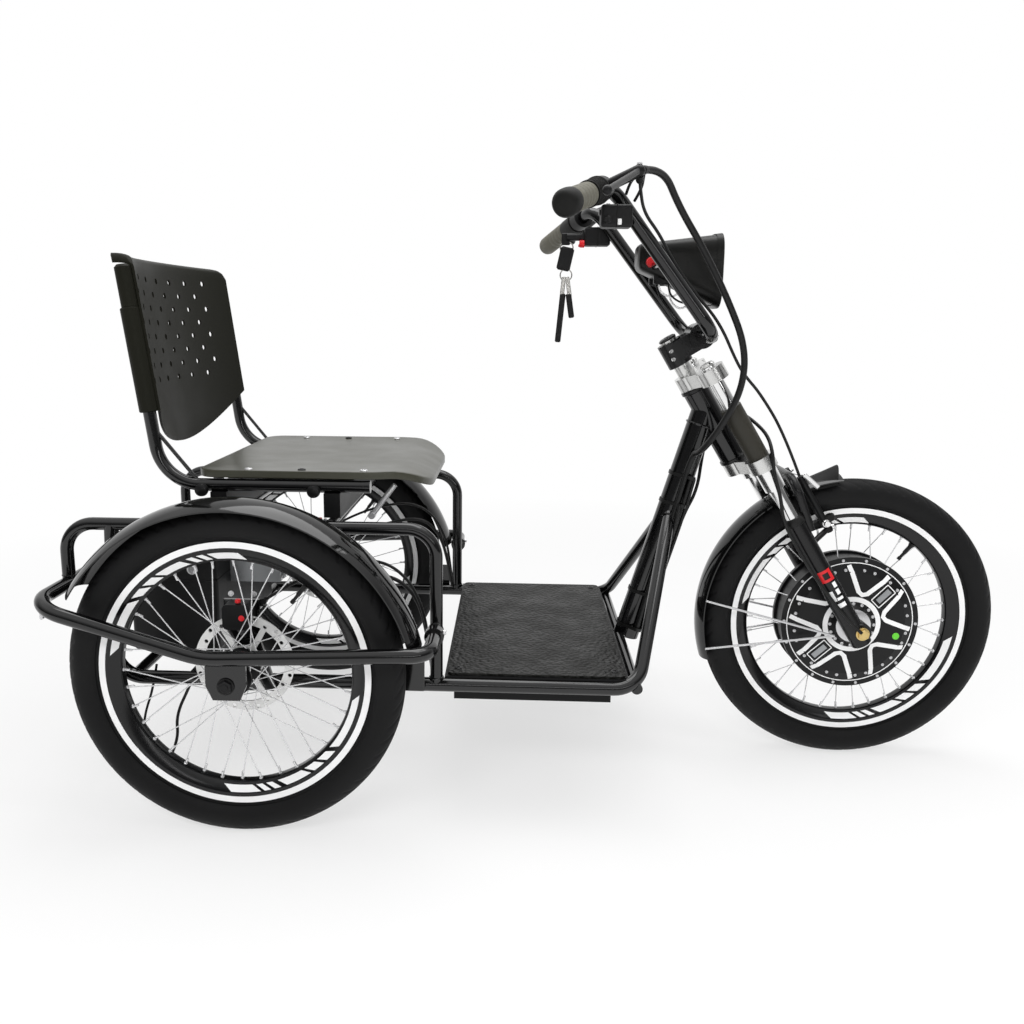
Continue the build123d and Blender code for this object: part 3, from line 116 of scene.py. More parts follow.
# Cable routes, as in the part's source, from the middle of the bar's clamp
LOOM_DIAMETER = 11.0
LOOM_ROUTE = [
    (-102, -174, 249), (-70, -140, 197), (-25, -120, 136), (20, -110, 58), (53, -106, -15),
    (53, -106, -81), (26, -98, -144), (0, -62, -196),
]
LOOM_HOLD = (0.74, 0.66)            # where the down tube holds it, as shares of the way up
BRAKE_CABLE_DIAMETER = 5.0
BRAKE_CABLE_ROUTE = [
    (-137, -192, 213), (-126, -160, 186), (-97, -134, 157), (-72, -117, 118), (-36, -115, 70), (10, -104, 23),
    (46, -80, -40), (65, -70, -65), (96, -55, -95), (142, -45, -161),
]

# Camera, from the photograph
CAMERA_PLACE = (412.67, -1560.43, 778.14)
CAMERA_YAW = radians(-2.63)
CAMERA_PITCH = radians(10.56)
CAMERA_ROLL = radians(0.40)
CAMERA_FOCAL = 877.21               # in pixels of the photograph
CAMERA_MIDDLE = (472.85, 487.71)    # in pixels too
PHOTO_SIZE = 1024.0
SENSOR = 36.0


def at(x, y, z):
    """A place counted from the rear axle, in the row frame."""
    return Vector(((x - MIDDLE_X) * MM, y * MM, z * MM))


def fork_point(ahead, side, up):
    """A place of the steering frame, in the row frame."""
    return at(FORK_X, side, FORK_Z) + (FORK_AHEAD * ahead + FORK_UP * up) * MM


def from_clamp(x, y, z):
    """A place counted from the middle of the bar's clamp, in the row frame."""
    return at(BAR_CLAMP[0] + x, y, BAR_CLAMP[1] + z)


# Finishes

FINISHES = {
    # name: colour, roughness, metal, gloss, grain per metre, grain depth
    "frame_paint": ((0.0025, 0.0025, 0.0028), 0.11, 0.0, 0.6, 260, 0.03),
    "fender_gloss": ((0.0025, 0.0025, 0.0026), 0.08, 0.0, 0.55, 160, 0.03),
    "fork_paint": ((0.003, 0.003, 0.0034), 0.26, 0.0, 0.4, 420, 0.05),
    "deck": ((0.004, 0.004, 0.0043), 0.42, 0.0, 0.2, 500, 0.12),
    "mount_steel": ((0.006, 0.006, 0.0064), 0.38, 0.0, 0.3, 500, 0.1),
    "caliper": ((0.005, 0.005, 0.0053), 0.42, 0.1, 0.25, 700, 0.15),
    "case_plastic": ((0.006, 0.006, 0.0064), 0.48, 0.0, 0.3, 900, 0.15),
    # The seat pan and the backrest are one plastic. seat_plastic's colour is that plastic's own olive grey,
    # lightened by painted sheen from the light overhead. The darker copy in the next row is the same plastic
    # with painted shade, for the backrest.
    "seat_plastic": ((0.040, 0.040, 0.027), 0.33, 0.0, 0.5, 1400, 0.06),
    "shaded_seat_plastic": ((0.011, 0.011, 0.0075), 0.44, 0.0, 0.1, 1400, 0.06),
    "lamp_shell": ((0.005, 0.005, 0.0044), 0.32, 0.0, 0.25, 1200, 0.12),
    "sleeve": ((0.028, 0.026, 0.020), 0.42, 0.0, 0.3, 900, 0.12),
    "grip": ((0.150, 0.145, 0.118), 0.55, 0.0, 0.2, 1300, 0.3),
    "throttle": ((0.008, 0.008, 0.0075), 0.55, 0.0, 0.2, 1100, 0.2),
    "cable": ((0.005, 0.005, 0.005), 0.40, 0.0, 0.35, 1500, 0.15),
    "tyre": ((0.006, 0.006, 0.0063), 0.60, 0.0, 0.2, 900, 0.3),
    "flap": ((0.006, 0.006, 0.0058), 0.50, 0.0, 0.15, 900, 0.1),
    "motor": ((0.003, 0.003, 0.0034), 0.36, 0.0, 0.3, 700, 0.08),
    "rim": ((0.003, 0.003, 0.0034), 0.20, 0.0, 0.4, 300, 0.04),
    "hub": ((0.006, 0.006, 0.0064), 0.36, 0.2, 0.3, 600, 0.1),
    "brake_arm": ((0.005, 0.005, 0.0054), 0.38, 0.1, 0.3, 600, 0.1),
    "steel": ((0.66, 0.66, 0.67), 0.28, 0.7, 0.5, 800, 0.1),
    "spoke": ((0.78, 0.78, 0.79), 0.24, 0.6, 0.5, 900, 0.05),
    "rotor": ((0.80, 0.80, 0.79), 0.36, 0.4, 0.5, 1600, 0.15),
    "chrome": ((0.86, 0.86, 0.86), 0.13, 1.0, 0.5, 300, 0.02),
    "crown_alloy": ((0.66, 0.66, 0.65), 0.24, 1.0, 0.5, 700, 0.06),
    "controller": ((0.34, 0.35, 0.36), 0.42, 0.8, 0.5, 900, 0.15),
    "brass": ((0.70, 0.52, 0.22), 0.28, 1.0, 0.5, 700, 0.1),
    "key_metal": ((0.46, 0.45, 0.43), 0.26, 1.0, 0.5, 900, 0.1),
    "white": ((0.88, 0.88, 0.88), 0.40, 0.0, 0.4, 900, 0.05),
    "red": ((0.66, 0.010, 0.015), 0.34, 0.0, 0.5, 900, 0.05),
    "green": ((0.13, 0.62, 0.04), 0.40, 0.0, 0.4, 900, 0.05),
}
MAT_COLOUR = (0.0065, 0.0065, 0.0058)
MAT_CELLS = 165.0                   # pebbles in a metre
LENS_COLOUR = (0.93, 0.95, 0.97)
LENS_RIBS = 120.0
NOISE_RANGE = (0.3, 0.7)            # most of a noise's values lie here
WEAR_SCALE = 14.0
WEAR_TINT = 0.10
WEAR_ROUGH = (0.9, 1.12)


def shader_of(name):
    """A new material: its node tree and its surface shader."""
    material = bpy.data.materials.new(name)
    material.use_nodes = True
    tree = material.node_tree
    return material, tree, tree.nodes["Principled BSDF"]


def own_place(tree, kind="Object"):
    """The place that is shaded, in the piece's own space or as another kind of coordinate."""
    return tree.nodes.new("ShaderNodeTexCoord").outputs[kind]


def combine(tree, operation, first, second):
    """Two values made into one. Each is a number or comes from a node."""
    node = tree.nodes.new("ShaderNodeMath")
    node.operation = operation
    for socket, value in zip(node.inputs, (first, second)):
        if isinstance(value, float):
            socket.default_value = value
        else:
            tree.links.new(value, socket)
    return node.outputs["Value"]


def turned_into(tree, value, before, after):
    """A value of one range turned into another range."""
    node = tree.nodes.new("ShaderNodeMapRange")
    for name, number in zip(("From Min", "From Max", "To Min", "To Max"), (*before, *after)):
        node.inputs[name].default_value = number
    tree.links.new(value, node.inputs["Value"])
    return node.outputs["Result"]


def noise(tree, scale, detail):
    """A noise in the piece's own space."""
    texture = tree.nodes.new("ShaderNodeTexNoise")
    texture.inputs["Scale"].default_value = scale
    texture.inputs["Detail"].default_value = detail
    tree.links.new(own_place(tree), texture.inputs["Vector"])
    return texture.outputs["Fac"]


def spread(tree, value, low, high):
    """A noise's value turned into the range from low to high."""
    return turned_into(tree, value, NOISE_RANGE, (low, high))


def tint(tree, value, colour, share):
    """A colour that a noise darkens and lightens by a share."""
    node = tree.nodes.new("ShaderNodeMix")
    node.data_type = "RGBA"
    node.inputs["A"].default_value = (*[c * (1 - share) for c in colour], 1)
    node.inputs["B"].default_value = (*[min(1, c * (1 + share)) for c in colour], 1)
    tree.links.new(value, node.inputs["Factor"])
    return node.outputs["Result"]


def press(tree, shader, height, depth, distance=0.0006):
    """A height that shows as a bump on the surface."""
    node = tree.nodes.new("ShaderNodeBump")
    node.inputs["Strength"].default_value = depth
    node.inputs["Distance"].default_value = distance
    tree.links.new(height, node.inputs["Height"])
    tree.links.new(node.outputs["Normal"], shader.inputs["Normal"])


def surface(name, colour, rough, metal, gloss, grain, depth):
    """A plain finish with a little wear: patches in its colour and roughness, and a fine grain."""
    material, tree, shader = shader_of(name)
    shader.inputs["Metallic"].default_value = metal
    shader.inputs["Specular IOR Level"].default_value = gloss
    patches = noise(tree, WEAR_SCALE, 3)
    low, high = WEAR_ROUGH
    tree.links.new(tint(tree, patches, colour, WEAR_TINT), shader.inputs["Base Color"])
    tree.links.new(spread(tree, patches, low * rough, high * rough), shader.inputs["Roughness"])
    press(tree, shader, noise(tree, grain, 3), depth)
    return material


def mat_surface():
    """The foot mat's rubber, with a pebbled top."""
    material, tree, shader = shader_of("mat")
    shader.inputs["Specular IOR Level"].default_value = 0.25
    patches = noise(tree, 20, 6)
    tree.links.new(tint(tree, patches, MAT_COLOUR, 0.25), shader.inputs["Base Color"])
    tree.links.new(spread(tree, patches, 0.42, 0.62), shader.inputs["Roughness"])
    cells = tree.nodes.new("ShaderNodeTexVoronoi")
    cells.feature = "SMOOTH_F1"
    cells.inputs["Scale"].default_value = MAT_CELLS
    tree.links.new(own_place(tree), cells.inputs["Vector"])
    press(tree, shader, combine(tree, "SUBTRACT", 1.0, cells.outputs["Distance"]), 0.9, 0.004)
    return material


def lens_surface():
    """The lamp's clear front, with fine upright ribs."""
    material, tree, shader = shader_of("lens")
    shader.inputs["Transmission Weight"].default_value = 0.94
    shader.inputs["IOR"].default_value = 1.46
    patches = noise(tree, 30, 4)
    tree.links.new(tint(tree, patches, LENS_COLOUR, 0.03), shader.inputs["Base Color"])
    tree.links.new(spread(tree, patches, 0.02, 0.05), shader.inputs["Roughness"])
    ribs = tree.nodes.new("ShaderNodeTexWave")
    ribs.bands_direction = "Y"
    ribs.inputs["Scale"].default_value = LENS_RIBS
    tree.links.new(own_place(tree), ribs.inputs["Vector"])
    press(tree, shader, ribs.outputs["Fac"], 0.25)
    return material


MATERIALS = {name: surface(name, *row) for name, row in FINISHES.items()}
MATERIALS["mat"] = mat_surface()
MATERIALS["lens"] = lens_surface()
SLOTS = {part["node"]: part["material_slot"] for part in frame["record"]["subparts"]}


def dress_nodes():
    """Each piece of the part in the finish of its own slot."""
    for name, node in frame["nodes"].items():
        node.data.materials.clear()
        node.data.materials.append(MATERIALS[SLOTS[name]])


# Making meshes

SHARP_ANGLE = radians(38)


def placed(name, data):
    """A new object in the scene."""
    item = bpy.data.objects.new(name, data)
    bpy.context.scene.collection.objects.link(item)
    return item


def around(sides, turn=0.0):
    """Even angles of a full turn."""
    return [turn + 2 * pi * number / sides for number in range(sides)]


def side_axes(axis):
    """Two directions square to an axis and to each other."""
    other = UP if abs(axis.z) < 0.9 else FORWARD
    first = axis.cross(other).normalized()
    return first, axis.cross(first)


def show(name, mesh, finish, body, stands_for=()):
    """A mesh as a piece that rides on a body, in one finish, perhaps in place of some nodes."""
    shape = bmesh.new()
    shape.from_mesh(mesh)
    bmesh.ops.recalc_face_normals(shape, faces=shape.faces)
    shape.to_mesh(mesh)
    shape.free()
    mesh.polygons.foreach_set("use_smooth", [True] * len(mesh.polygons))
    mesh.set_sharp_from_angle(angle=SHARP_ANGLE)
    mesh.materials.append(MATERIALS[finish])
    piece = placed(name, mesh)
    if body:
        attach(piece, body)
    if stands_for:
        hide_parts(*stands_for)
    return piece


class Pile:
    """Small solids gathered into one piece. Places are in the row frame, sizes in millimetres."""

    def __init__(self):
        self.points = []
        self.faces = []

    def add(self, points, faces):
        """Points, and faces that count from the first of them."""
        start = len(self.points)
        self.points.extend(points)
        self.faces.extend(tuple(start + number for number in face) for face in faces)

    def rows(self, rings, closed=True, along=False):
        """Rows of points as a skin: closed round each row, and perhaps from the last row to the first."""
        size = len(rings[0])
        count = len(rings)
        faces = []
        for row in range(count if along else count - 1):
            here = row * size
            after = (row + 1) % count * size
            for number in range(size if closed else size - 1):
                step = (number + 1) % size
                faces.append((here + number, here + step, after + step, after + number))
        if closed and not along:
            faces.append(tuple(reversed(range(size))))
            faces.append(tuple((count - 1) * size + number for number in range(size)))
        self.add([point for ring in rings for point in ring], faces)

    def lathe(self, corners, origin, axis, sides=32, closed=False, turn=0.0):
        """A turned solid from (radius, height) corners, with a hole in its middle if it is closed."""
        first, second = side_axes(axis)
        rings = []
        for radius, height in corners:
            middle = origin + axis * (height * MM)
            angles = around(sides, turn)
            rings.append([middle + (first * cos(a) + second * sin(a)) * (radius * MM) for a in angles])
        self.rows(rings, along=closed)

    def rod(self, start, end, radius, sides=16, edge=0.6):
        """A round bar with broken edges."""
        run = end - start
        length = run.length / MM
        edge = min(edge, radius / 2, length / 3)
        corners = [(radius - edge, 0), (radius, edge), (radius, length - edge), (radius - edge, length)]
        self.lathe(corners, start, run.normalized(), sides)

    def box(self, centre, size, axes=(FORWARD, LEFT, UP), edge=1.0):
        """A block with broken edges: its size along three directions."""
        x, y, z = [axis * (length / 2 * MM) for axis, length in zip(axes, size)]
        inset = [max(0.1, 1 - 2 * edge / length) for length in size]
        rings = []
        for height, share in ((-1, 0), (-inset[2], 1), (inset[2], 1), (1, 0)):
            wide, deep = [(1 if share else inset[k]) for k in (0, 1)]
            ring = [(wide, inset[1] * deep), (inset[0] * wide, deep)]
            corners = ring + [(-a, b) for a, b in reversed(ring)]
            corners += [(-a, -b) for a, b in corners]
            rings.append([centre + x * a + y * b + z * height for a, b in corners])
        self.rows(rings)

    def nut(self, origin, axis, width, height):
        """A hexagon nut with a chamfered outer face, and its washer."""
        face = 0.62 * width
        wide = 0.68 * width
        self.lathe([(face, 0), (wide, 0.4), (wide, 1.6), (face, 2)], origin, axis)
        corner = width / 3 ** 0.5
        top = [(corner, 2), (corner, height - 1), (0.9 * corner, height)]
        self.lathe(top, origin, axis, sides=6, turn=pi / 6)

    def bolt(self, origin, axis, radius, height):
        """A round bolt head with a socket in it."""
        corners = [(radius, 0), (radius, 0.6 * height), (0.85 * radius, height), (0.5 * radius, height),
                   (0.45 * radius, 0.4 * height)]
        self.lathe(corners, origin, axis, sides=18)

    def bead(self, centre, axis, radius, size):
        """A weld bead round a tube."""
        corners = [(radius + size * cos(a), size * sin(a)) for a in around(8)]
        self.lathe(corners, centre, axis, sides=40, closed=True)

    def ribbon(self, lefts, rights, drop):
        """A strip between two lines of points, with some thickness."""
        rings = []
        for left, right in zip(lefts, rights):
            rings.append([left, right, right + drop, left + drop])
        self.rows(rings)

    def tube(self, path, radius, sides=14):
        """A round cable along close points."""
        rings = []
        ahead = (path[1] - path[0]).normalized()
        first, _ = side_axes(ahead)
        for number, point in enumerate(path):
            before = path[max(0, number - 1)]
            after = path[min(len(path) - 1, number + 1)]
            ahead = (after - before).normalized()
            first = (first - ahead * first.dot(ahead)).normalized()
            second = ahead.cross(first)
            rings.append([point + (first * cos(a) + second * sin(a)) * (radius * MM) for a in around(sides)])
        self.rows(rings)

    def mesh(self, name):
        """Everything gathered so far as a mesh."""
        mesh = bpy.data.meshes.new(name)
        mesh.from_pydata([tuple(point) for point in self.points], [], self.faces)
        return mesh

    def piece(self, name, finish, body, stands_for=()):
        """Everything gathered so far as one piece."""
        return show(name, self.mesh(name), finish, body, stands_for)


def drilled(pile, drills):
    """A pile with the solids of another pile cut out of it."""
    whole = placed("whole", pile.mesh("whole"))
    tool = placed("tool", drills.mesh("tool"))
    cut = whole.modifiers.new("cut", "BOOLEAN")
    cut.object = tool
    cut.solver = "EXACT"
    bpy.context.view_layer.update()
    mesh = bpy.data.meshes.new_from_object(whole.evaluated_get(bpy.context.evaluated_depsgraph_get()))
    points = [vertex.co.copy() for vertex in mesh.vertices]
    result = Pile()
    result.add(points, [tuple(face.vertices) for face in mesh.polygons])
    for item in (whole, tool):
        bpy.data.objects.remove(item)
    return result


def stroke(points, width):
    """The two edges of a line of the given width along flat points."""
    lefts = []
    rights = []
    for number, (a, b) in enumerate(points):
        before = points[max(0, number - 1)]
        after = points[min(len(points) - 1, number + 1)]
        run = Vector((after[0] - before[0], after[1] - before[1])).normalized()
        lefts.append((a - run.y * width / 2, b + run.x * width / 2))
        rights.append((a + run.y * width / 2, b - run.x * width / 2))
    return lefts, rights


# Cables

def route_line(name, points):
    """A smooth curve along the points of a route."""
    curve = bpy.data.curves.new(name, "CURVE")
    curve.dimensions = "3D"
    curve.resolution_u = 10
    spline = curve.splines.new("NURBS")
    spline.points.add(len(points) - 1)
    for knot, point in zip(spline.points, points):
        knot.co = (*point, 1)
    spline.order_u = 3
    spline.use_endpoint_u = True
    return placed(name, curve)


def line_points(line):
    """Close points along a curve."""
    bpy.context.view_layer.update()
    shown = line.evaluated_get(bpy.context.evaluated_depsgraph_get())
    mesh = bpy.data.meshes.new_from_object(shown)
    path = [vertex.co.copy() for vertex in mesh.vertices]
    bpy.data.meshes.remove(mesh)
    return path


def run_length(path):
    """The length along close points."""
    return sum((after - before).length for before, after in zip(path, path[1:]))


def cable(name, points, diameter, body, finish="cable", stands_for=()):
    """A cable that rides on one body, along a route."""
    line = route_line(name, points)
    length = run_length(line_points(line))
    line.data.bevel_depth = diameter / 2 * MM
    line.data.bevel_resolution = 4
    line.data.use_fill_caps = True
    line.data.materials.append(MATERIALS[finish])
    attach(line, body)
    if stands_for:
        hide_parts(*stands_for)
    return line


def crossing_cable(name, points, diameter, stands_for=()):
    """A cable from the steering to the frame, made as one fixed piece along its route."""
    line = route_line(name + ".route", points)
    path = line_points(line)
    bpy.data.objects.remove(line)
    pile = Pile()
    pile.tube(path, diameter / 2)
    piece = pile.piece(name, "cable", None, stands_for)
    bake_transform(piece)
    return piece


def down_tube_at(z):
    """The middle of the down tube at one height."""
    share = (z - DOWN_TUBE_FOOT[2]) / (DOWN_TUBE_TOP[2] - DOWN_TUBE_FOOT[2])
    return [low + (high - low) * share for low, high in zip(DOWN_TUBE_FOOT, DOWN_TUBE_TOP)]


def bar_line(side):
    """The straight of a grip: the bar's end, and the direction from it towards the riser."""
    end = Vector(RISER_TOP) + Vector(GRIP_RUN)
    along = -Vector(GRIP_RUN).normalized()
    return from_clamp(end.x, side * end.y, end.z), Vector((along.x, side * along.y, along.z))


def knuckle_at(side):
    """The middle of a brake lever's knuckle."""
    end, along = bar_line(side)
    middle = end + along * ((GRIP_LENGTH + THROTTLE_LENGTH + 2 * FIT + PERCH_LENGTH / 2) * MM)
    return middle + (LEVER_AHEAD - along * LEVER_AHEAD.dot(along)) * MM


def from_knuckle(route):
    """A route led out of the right lever's knuckle, as in the part."""
    knuckle = knuckle_at(-1)
    points = [from_clamp(*point) for point in route]
    out = (points[0] - knuckle).normalized()
    return [knuckle + out * ((KNUCKLE_RADIUS + FIT) * MM)] + points


def main_cables():
    """The thick loom into the frame and the front brake's cable."""
    reach = CROWN_HIGH * cos(RAKE) + FORK_Z - RAIL_Z
    side = DOWN_TUBE_RADIUS + LOOM_DIAMETER / 2 + FIT
    held = []
    for share in LOOM_HOLD:
        x, _, z = down_tube_at(RAIL_Z + share * reach)
        held.append(at(x, -side, z))
    points = from_knuckle(LOOM_ROUTE) + held
    crossing_cable("loom", points, LOOM_DIAMETER, ["cable_loom"])
    end = fork_point(76.0, -40.0, 286.25)
    cable("front_brake_cable", from_knuckle(BRAKE_CABLE_ROUTE) + [end], BRAKE_CABLE_DIAMETER, "steering",
          stands_for=["brake_cable"])


def motor_cable():
    """The motor's cable: up the right leg, round the front of the head tube and down to the frame."""
    up_leg = [
        (30, -96, 6), (20, -93, 40), (9, -89, 120), (6, -90, 200), (8, -92, 250), (22, -93, 283),
        (33, -93, 331), (46, -93, 358), (58, -66, 382), (54, -46, 408), (48, 0, 428), (30, 42, 432),
        (-12, 44, 416), (-44, 30, 384),
    ]
    down = [(745, 10, 487), (720, 4, 440), (708, -2, 400)]
    points = [fork_point(*point) for point in up_leg] + [at(*point) for point in down]
    crossing_cable("motor_cable", points, 6)


def control_wires():
    """Two thin wires from the right lever's perch down to the riser."""
    rows = [
        [(-137, -186, 243), (-143, -176, 236), (-150, -162, 228), (-153, -150, 214)],
        [(-131, -184, 243), (-131, -176, 232), (-132, -163, 219), (-140, -150, 204)],
    ]
    for number, route in enumerate(rows):
        cable(f"control_wire_{number}", [from_clamp(*point) for point in route], 4.5, "steering")


# Wheels

TYRE_AROUND = 600
TYRE_ACROSS = 56
TYRE_SWEEP = 140.0                  # the section runs this far to each side of the crown
TYRE_MIDDLE = 232.0
TYRE_HALF_WIDTH = 26.6
TYRE_HALF_HEIGHT = 25.0
TREAD_BLOCKS = 60
TREAD_DEPTH = 1.5
WHITE_RING = (197.5, 207.0)
MARK_RING = (180.5, 190.5)
MARK_STARTS = (8.0, 188.0)
MARK_SLANT = 4.0
MARK_BARS = [(0, 27), (30, 6), (38, 6), (46, 13), (62, 3), (67, 3), (72, 14)]  # start and length in degrees
SLOPE_OUTER = 191.5                 # the rim's slope runs in from here
VALVE_ANGLE = 52.0
WHEELS = {
    # name: x, y of its middle
    "rear_left": (0.0, HALF_TRACK),
    "rear_right": (0.0, -HALF_TRACK),
    "front": (WHEELBASE, 0.0),
}


def wheel_middle(name):
    """The middle of a wheel."""
    x, y = WHEELS[name]
    return at(x, y, AXLE_Z)


def on_wheel(middle, radius, angle, side):
    """A place on a wheel: its radius, its angle in degrees from straight ahead, and how far to the left."""
    turn = radians(angle)
    return middle + Vector((radius * cos(turn), side, radius * sin(turn))) * MM


def groove(turn, lean):
    """How deep the tread is cut: a straight groove at each side of the crown, and slanted ones outside it."""
    lean = abs(lean)
    if abs(lean - 15) < 2:
        return TREAD_DEPTH
    slant = (turn * TREAD_BLOCKS + lean / 55) % 1
    if 22 < lean < 62 and slant < 0.2:
        return TREAD_DEPTH
    return 0.0


def tyre(name, body):
    """A tyre with a cut road tread and plain walls."""
    middle = wheel_middle(name)
    leans = [TYRE_SWEEP * (2 * number / TYRE_ACROSS - 1) for number in range(TYRE_ACROSS + 1)]
    rings = []
    for number in range(TYRE_AROUND):
        turn = number / TYRE_AROUND
        ring = []
        for lean in leans:
            side = TYRE_HALF_WIDTH * sin(radians(lean))
            radius = TYRE_MIDDLE + TYRE_HALF_HEIGHT * cos(radians(lean)) - groove(turn, lean)
            ring.append(on_wheel(middle, radius, 360 * turn, side))
        rings.append(ring)
    pile = Pile()
    pile.rows(rings, closed=False, along=True)
    bead = [(RIM_RADIUS + 6, 15), (RIM_RADIUS - 4, 12.9), (RIM_RADIUS - 4, -12.9), (RIM_RADIUS + 6, -15)]
    pile.lathe(bead, middle, LEFT, sides=160, closed=True)
    pile.piece(f"{name}_tread", "tyre", body, [f"{name}_tyre"])


def rim(name, body):
    """A rounded box rim, its white ring and the white marks on its slopes."""
    middle = wheel_middle(name)
    half = RIM_HALF
    edge = [(RIM_RADIUS - 5, half - 2.8), (RIM_RADIUS, half - 2.6), (RIM_RADIUS, half - 0.6),
            (RIM_RADIUS - 0.7, half), (193, half), (SLOPE_OUTER, half - 0.4), (178, half / 2 + 1.4),
            (RIM_INNER + 0.4, half / 2 - 1), (RIM_INNER, half / 4)]
    pile = Pile()
    pile.lathe(edge + [(r, -y) for r, y in reversed(edge)], middle, LEFT, sides=180, closed=True)
    pile.piece(f"{name}_box_rim", "rim", body, [f"{name}_rim"])
    white = Pile()
    inner, outer = WHITE_RING
    for side in (1, -1):
        band = [(outer, half), (outer, half + 0.3), (inner, half + 0.3), (inner, half)]
        white.lathe(band, middle, LEFT * side, sides=180, closed=True)
        for start in MARK_STARTS:
            rim_marks(white, middle, side, start)
    white.piece(f"{name}_rim_marks", "white", body)


def rim_marks(pile, middle, side, start):
    """A row of slanted white bars on one arc of the rim's slope."""
    inner, outer = MARK_RING
    for begin, length in MARK_BARS:
        steps = max(2, round(length / 2))
        lefts = []
        rights = []
        for number in range(steps + 1):
            angle = start + begin + length * number / steps
            turned = angle + MARK_SLANT
            lefts.append(on_wheel(middle, outer, side * angle, side * (rim_slope(outer) + 0.4)))
            rights.append(on_wheel(middle, inner, side * turned, side * (rim_slope(inner) + 0.4)))
        pile.ribbon(lefts, rights, LEFT * (-side * 0.3 * MM))


def rim_slope(radius):
    """How far the rim's slope lies from its middle plane."""
    return RIM_HALF - 0.4 - (SLOPE_OUTER - radius) * (RIM_HALF / 2 - 1.8) / 13.5


def nipples(name, body):
    """A nipple at the rim for each spoke, and the tube's valve."""
    middle = wheel_middle(name)
    bright = Pile()
    for number in range(SPOKE_COUNT):
        side = 1.8 if number % 2 else -1.8
        angle = number * 360 / SPOKE_COUNT
        foot = on_wheel(middle, RIM_INNER + 0.5, angle, side)
        top = on_wheel(middle, RIM_INNER - 11, angle, 2.4 * side)
        length = (top - foot).length / MM
        corners = [(2.9, 0), (2.9, 2), (1.9, 3), (1.9, length - 1), (1.3, length)]
        bright.lathe(corners, foot, (top - foot).normalized(), sides=10)
    bright.piece(f"{name}_nipples", "spoke", body)
    foot = on_wheel(middle, RIM_INNER + 0.5, VALVE_ANGLE, 0)
    inward = (middle - foot).normalized()
    stem = [(6, 0), (5, 3), (3.6, 6), (3.6, 20), (2.6, 21), (2.6, 30), (3.4, 30.5), (3.4, 36)]
    valve = Pile()
    valve.lathe(stem, foot, inward, sides=18)
    valve.piece(f"{name}_valve", "cable", body)


def rear_wheel_fittings(name, side, body):
    """The bolts that hold the brake disc, and the hub's end seals."""
    middle = wheel_middle(name)
    inboard = LEFT * -side
    bolts = Pile()
    for number in range(6):
        bolts.bolt(on_wheel(middle, 22, 30 + 60 * number, -side * 37.2), inboard, 4, 2.6)
    bolts.piece(f"{name}_disc_bolts", "steel", body)
    seals = Pile()
    for out in (1, -1):
        seal = [(11.5, 30), (14.5, 30.5), (14.5, 42), (12, 44), (11.3, 44)]
        seals.lathe(seal, middle, LEFT * out, closed=True)
    seals.piece(f"{name}_hub_seals", "hub", body)


# Hub motor

MOTOR_VEES = 6
MOTOR_VEE = [(100, -37), (89.5, -29.3), (60, -8), (56, 0), (60, 8), (89.5, 29.3), (100, 37)]
PLATE_FRAME = [(54, -10), (93, -10), (93, 10), (54, 10), (54, -10)]
PLATE_TURNS = (45, 225)
COVER_BOLTS = 12                    # pairs of bolts round the cover
FLANGE_BOLTS = 18
HUB_BOLTS = 16


def cover_height(radius):
    """How far the motor's cover lies from the wheel's middle plane."""
    if radius <= 94.5:
        return 37.6 - (radius - 37) * 3.6 / 57.5
    return 34 - (radius - 94.5) * 7 / 14


def on_cover(side, turn, ahead, across, lift=0.5):
    """A place on the motor's cover: out from the middle along a turned line, and across it."""
    radius = Vector((ahead, across)).length
    place = Matrix.Rotation(radians(-turn), 3, "Y") @ Vector((ahead, 0, across))
    return wheel_middle("front") + (place + LEFT * (side * (cover_height(radius) + lift))) * MM


def cover_line(pile, side, turn, points, width):
    """A raised line on the motor's cover along flat points."""
    lefts, rights = stroke(points, width)
    left = [on_cover(side, turn, a, b) for a, b in lefts]
    right = [on_cover(side, turn, a, b) for a, b in rights]
    pile.ribbon(left, right, LEFT * (-side * 0.9 * MM))


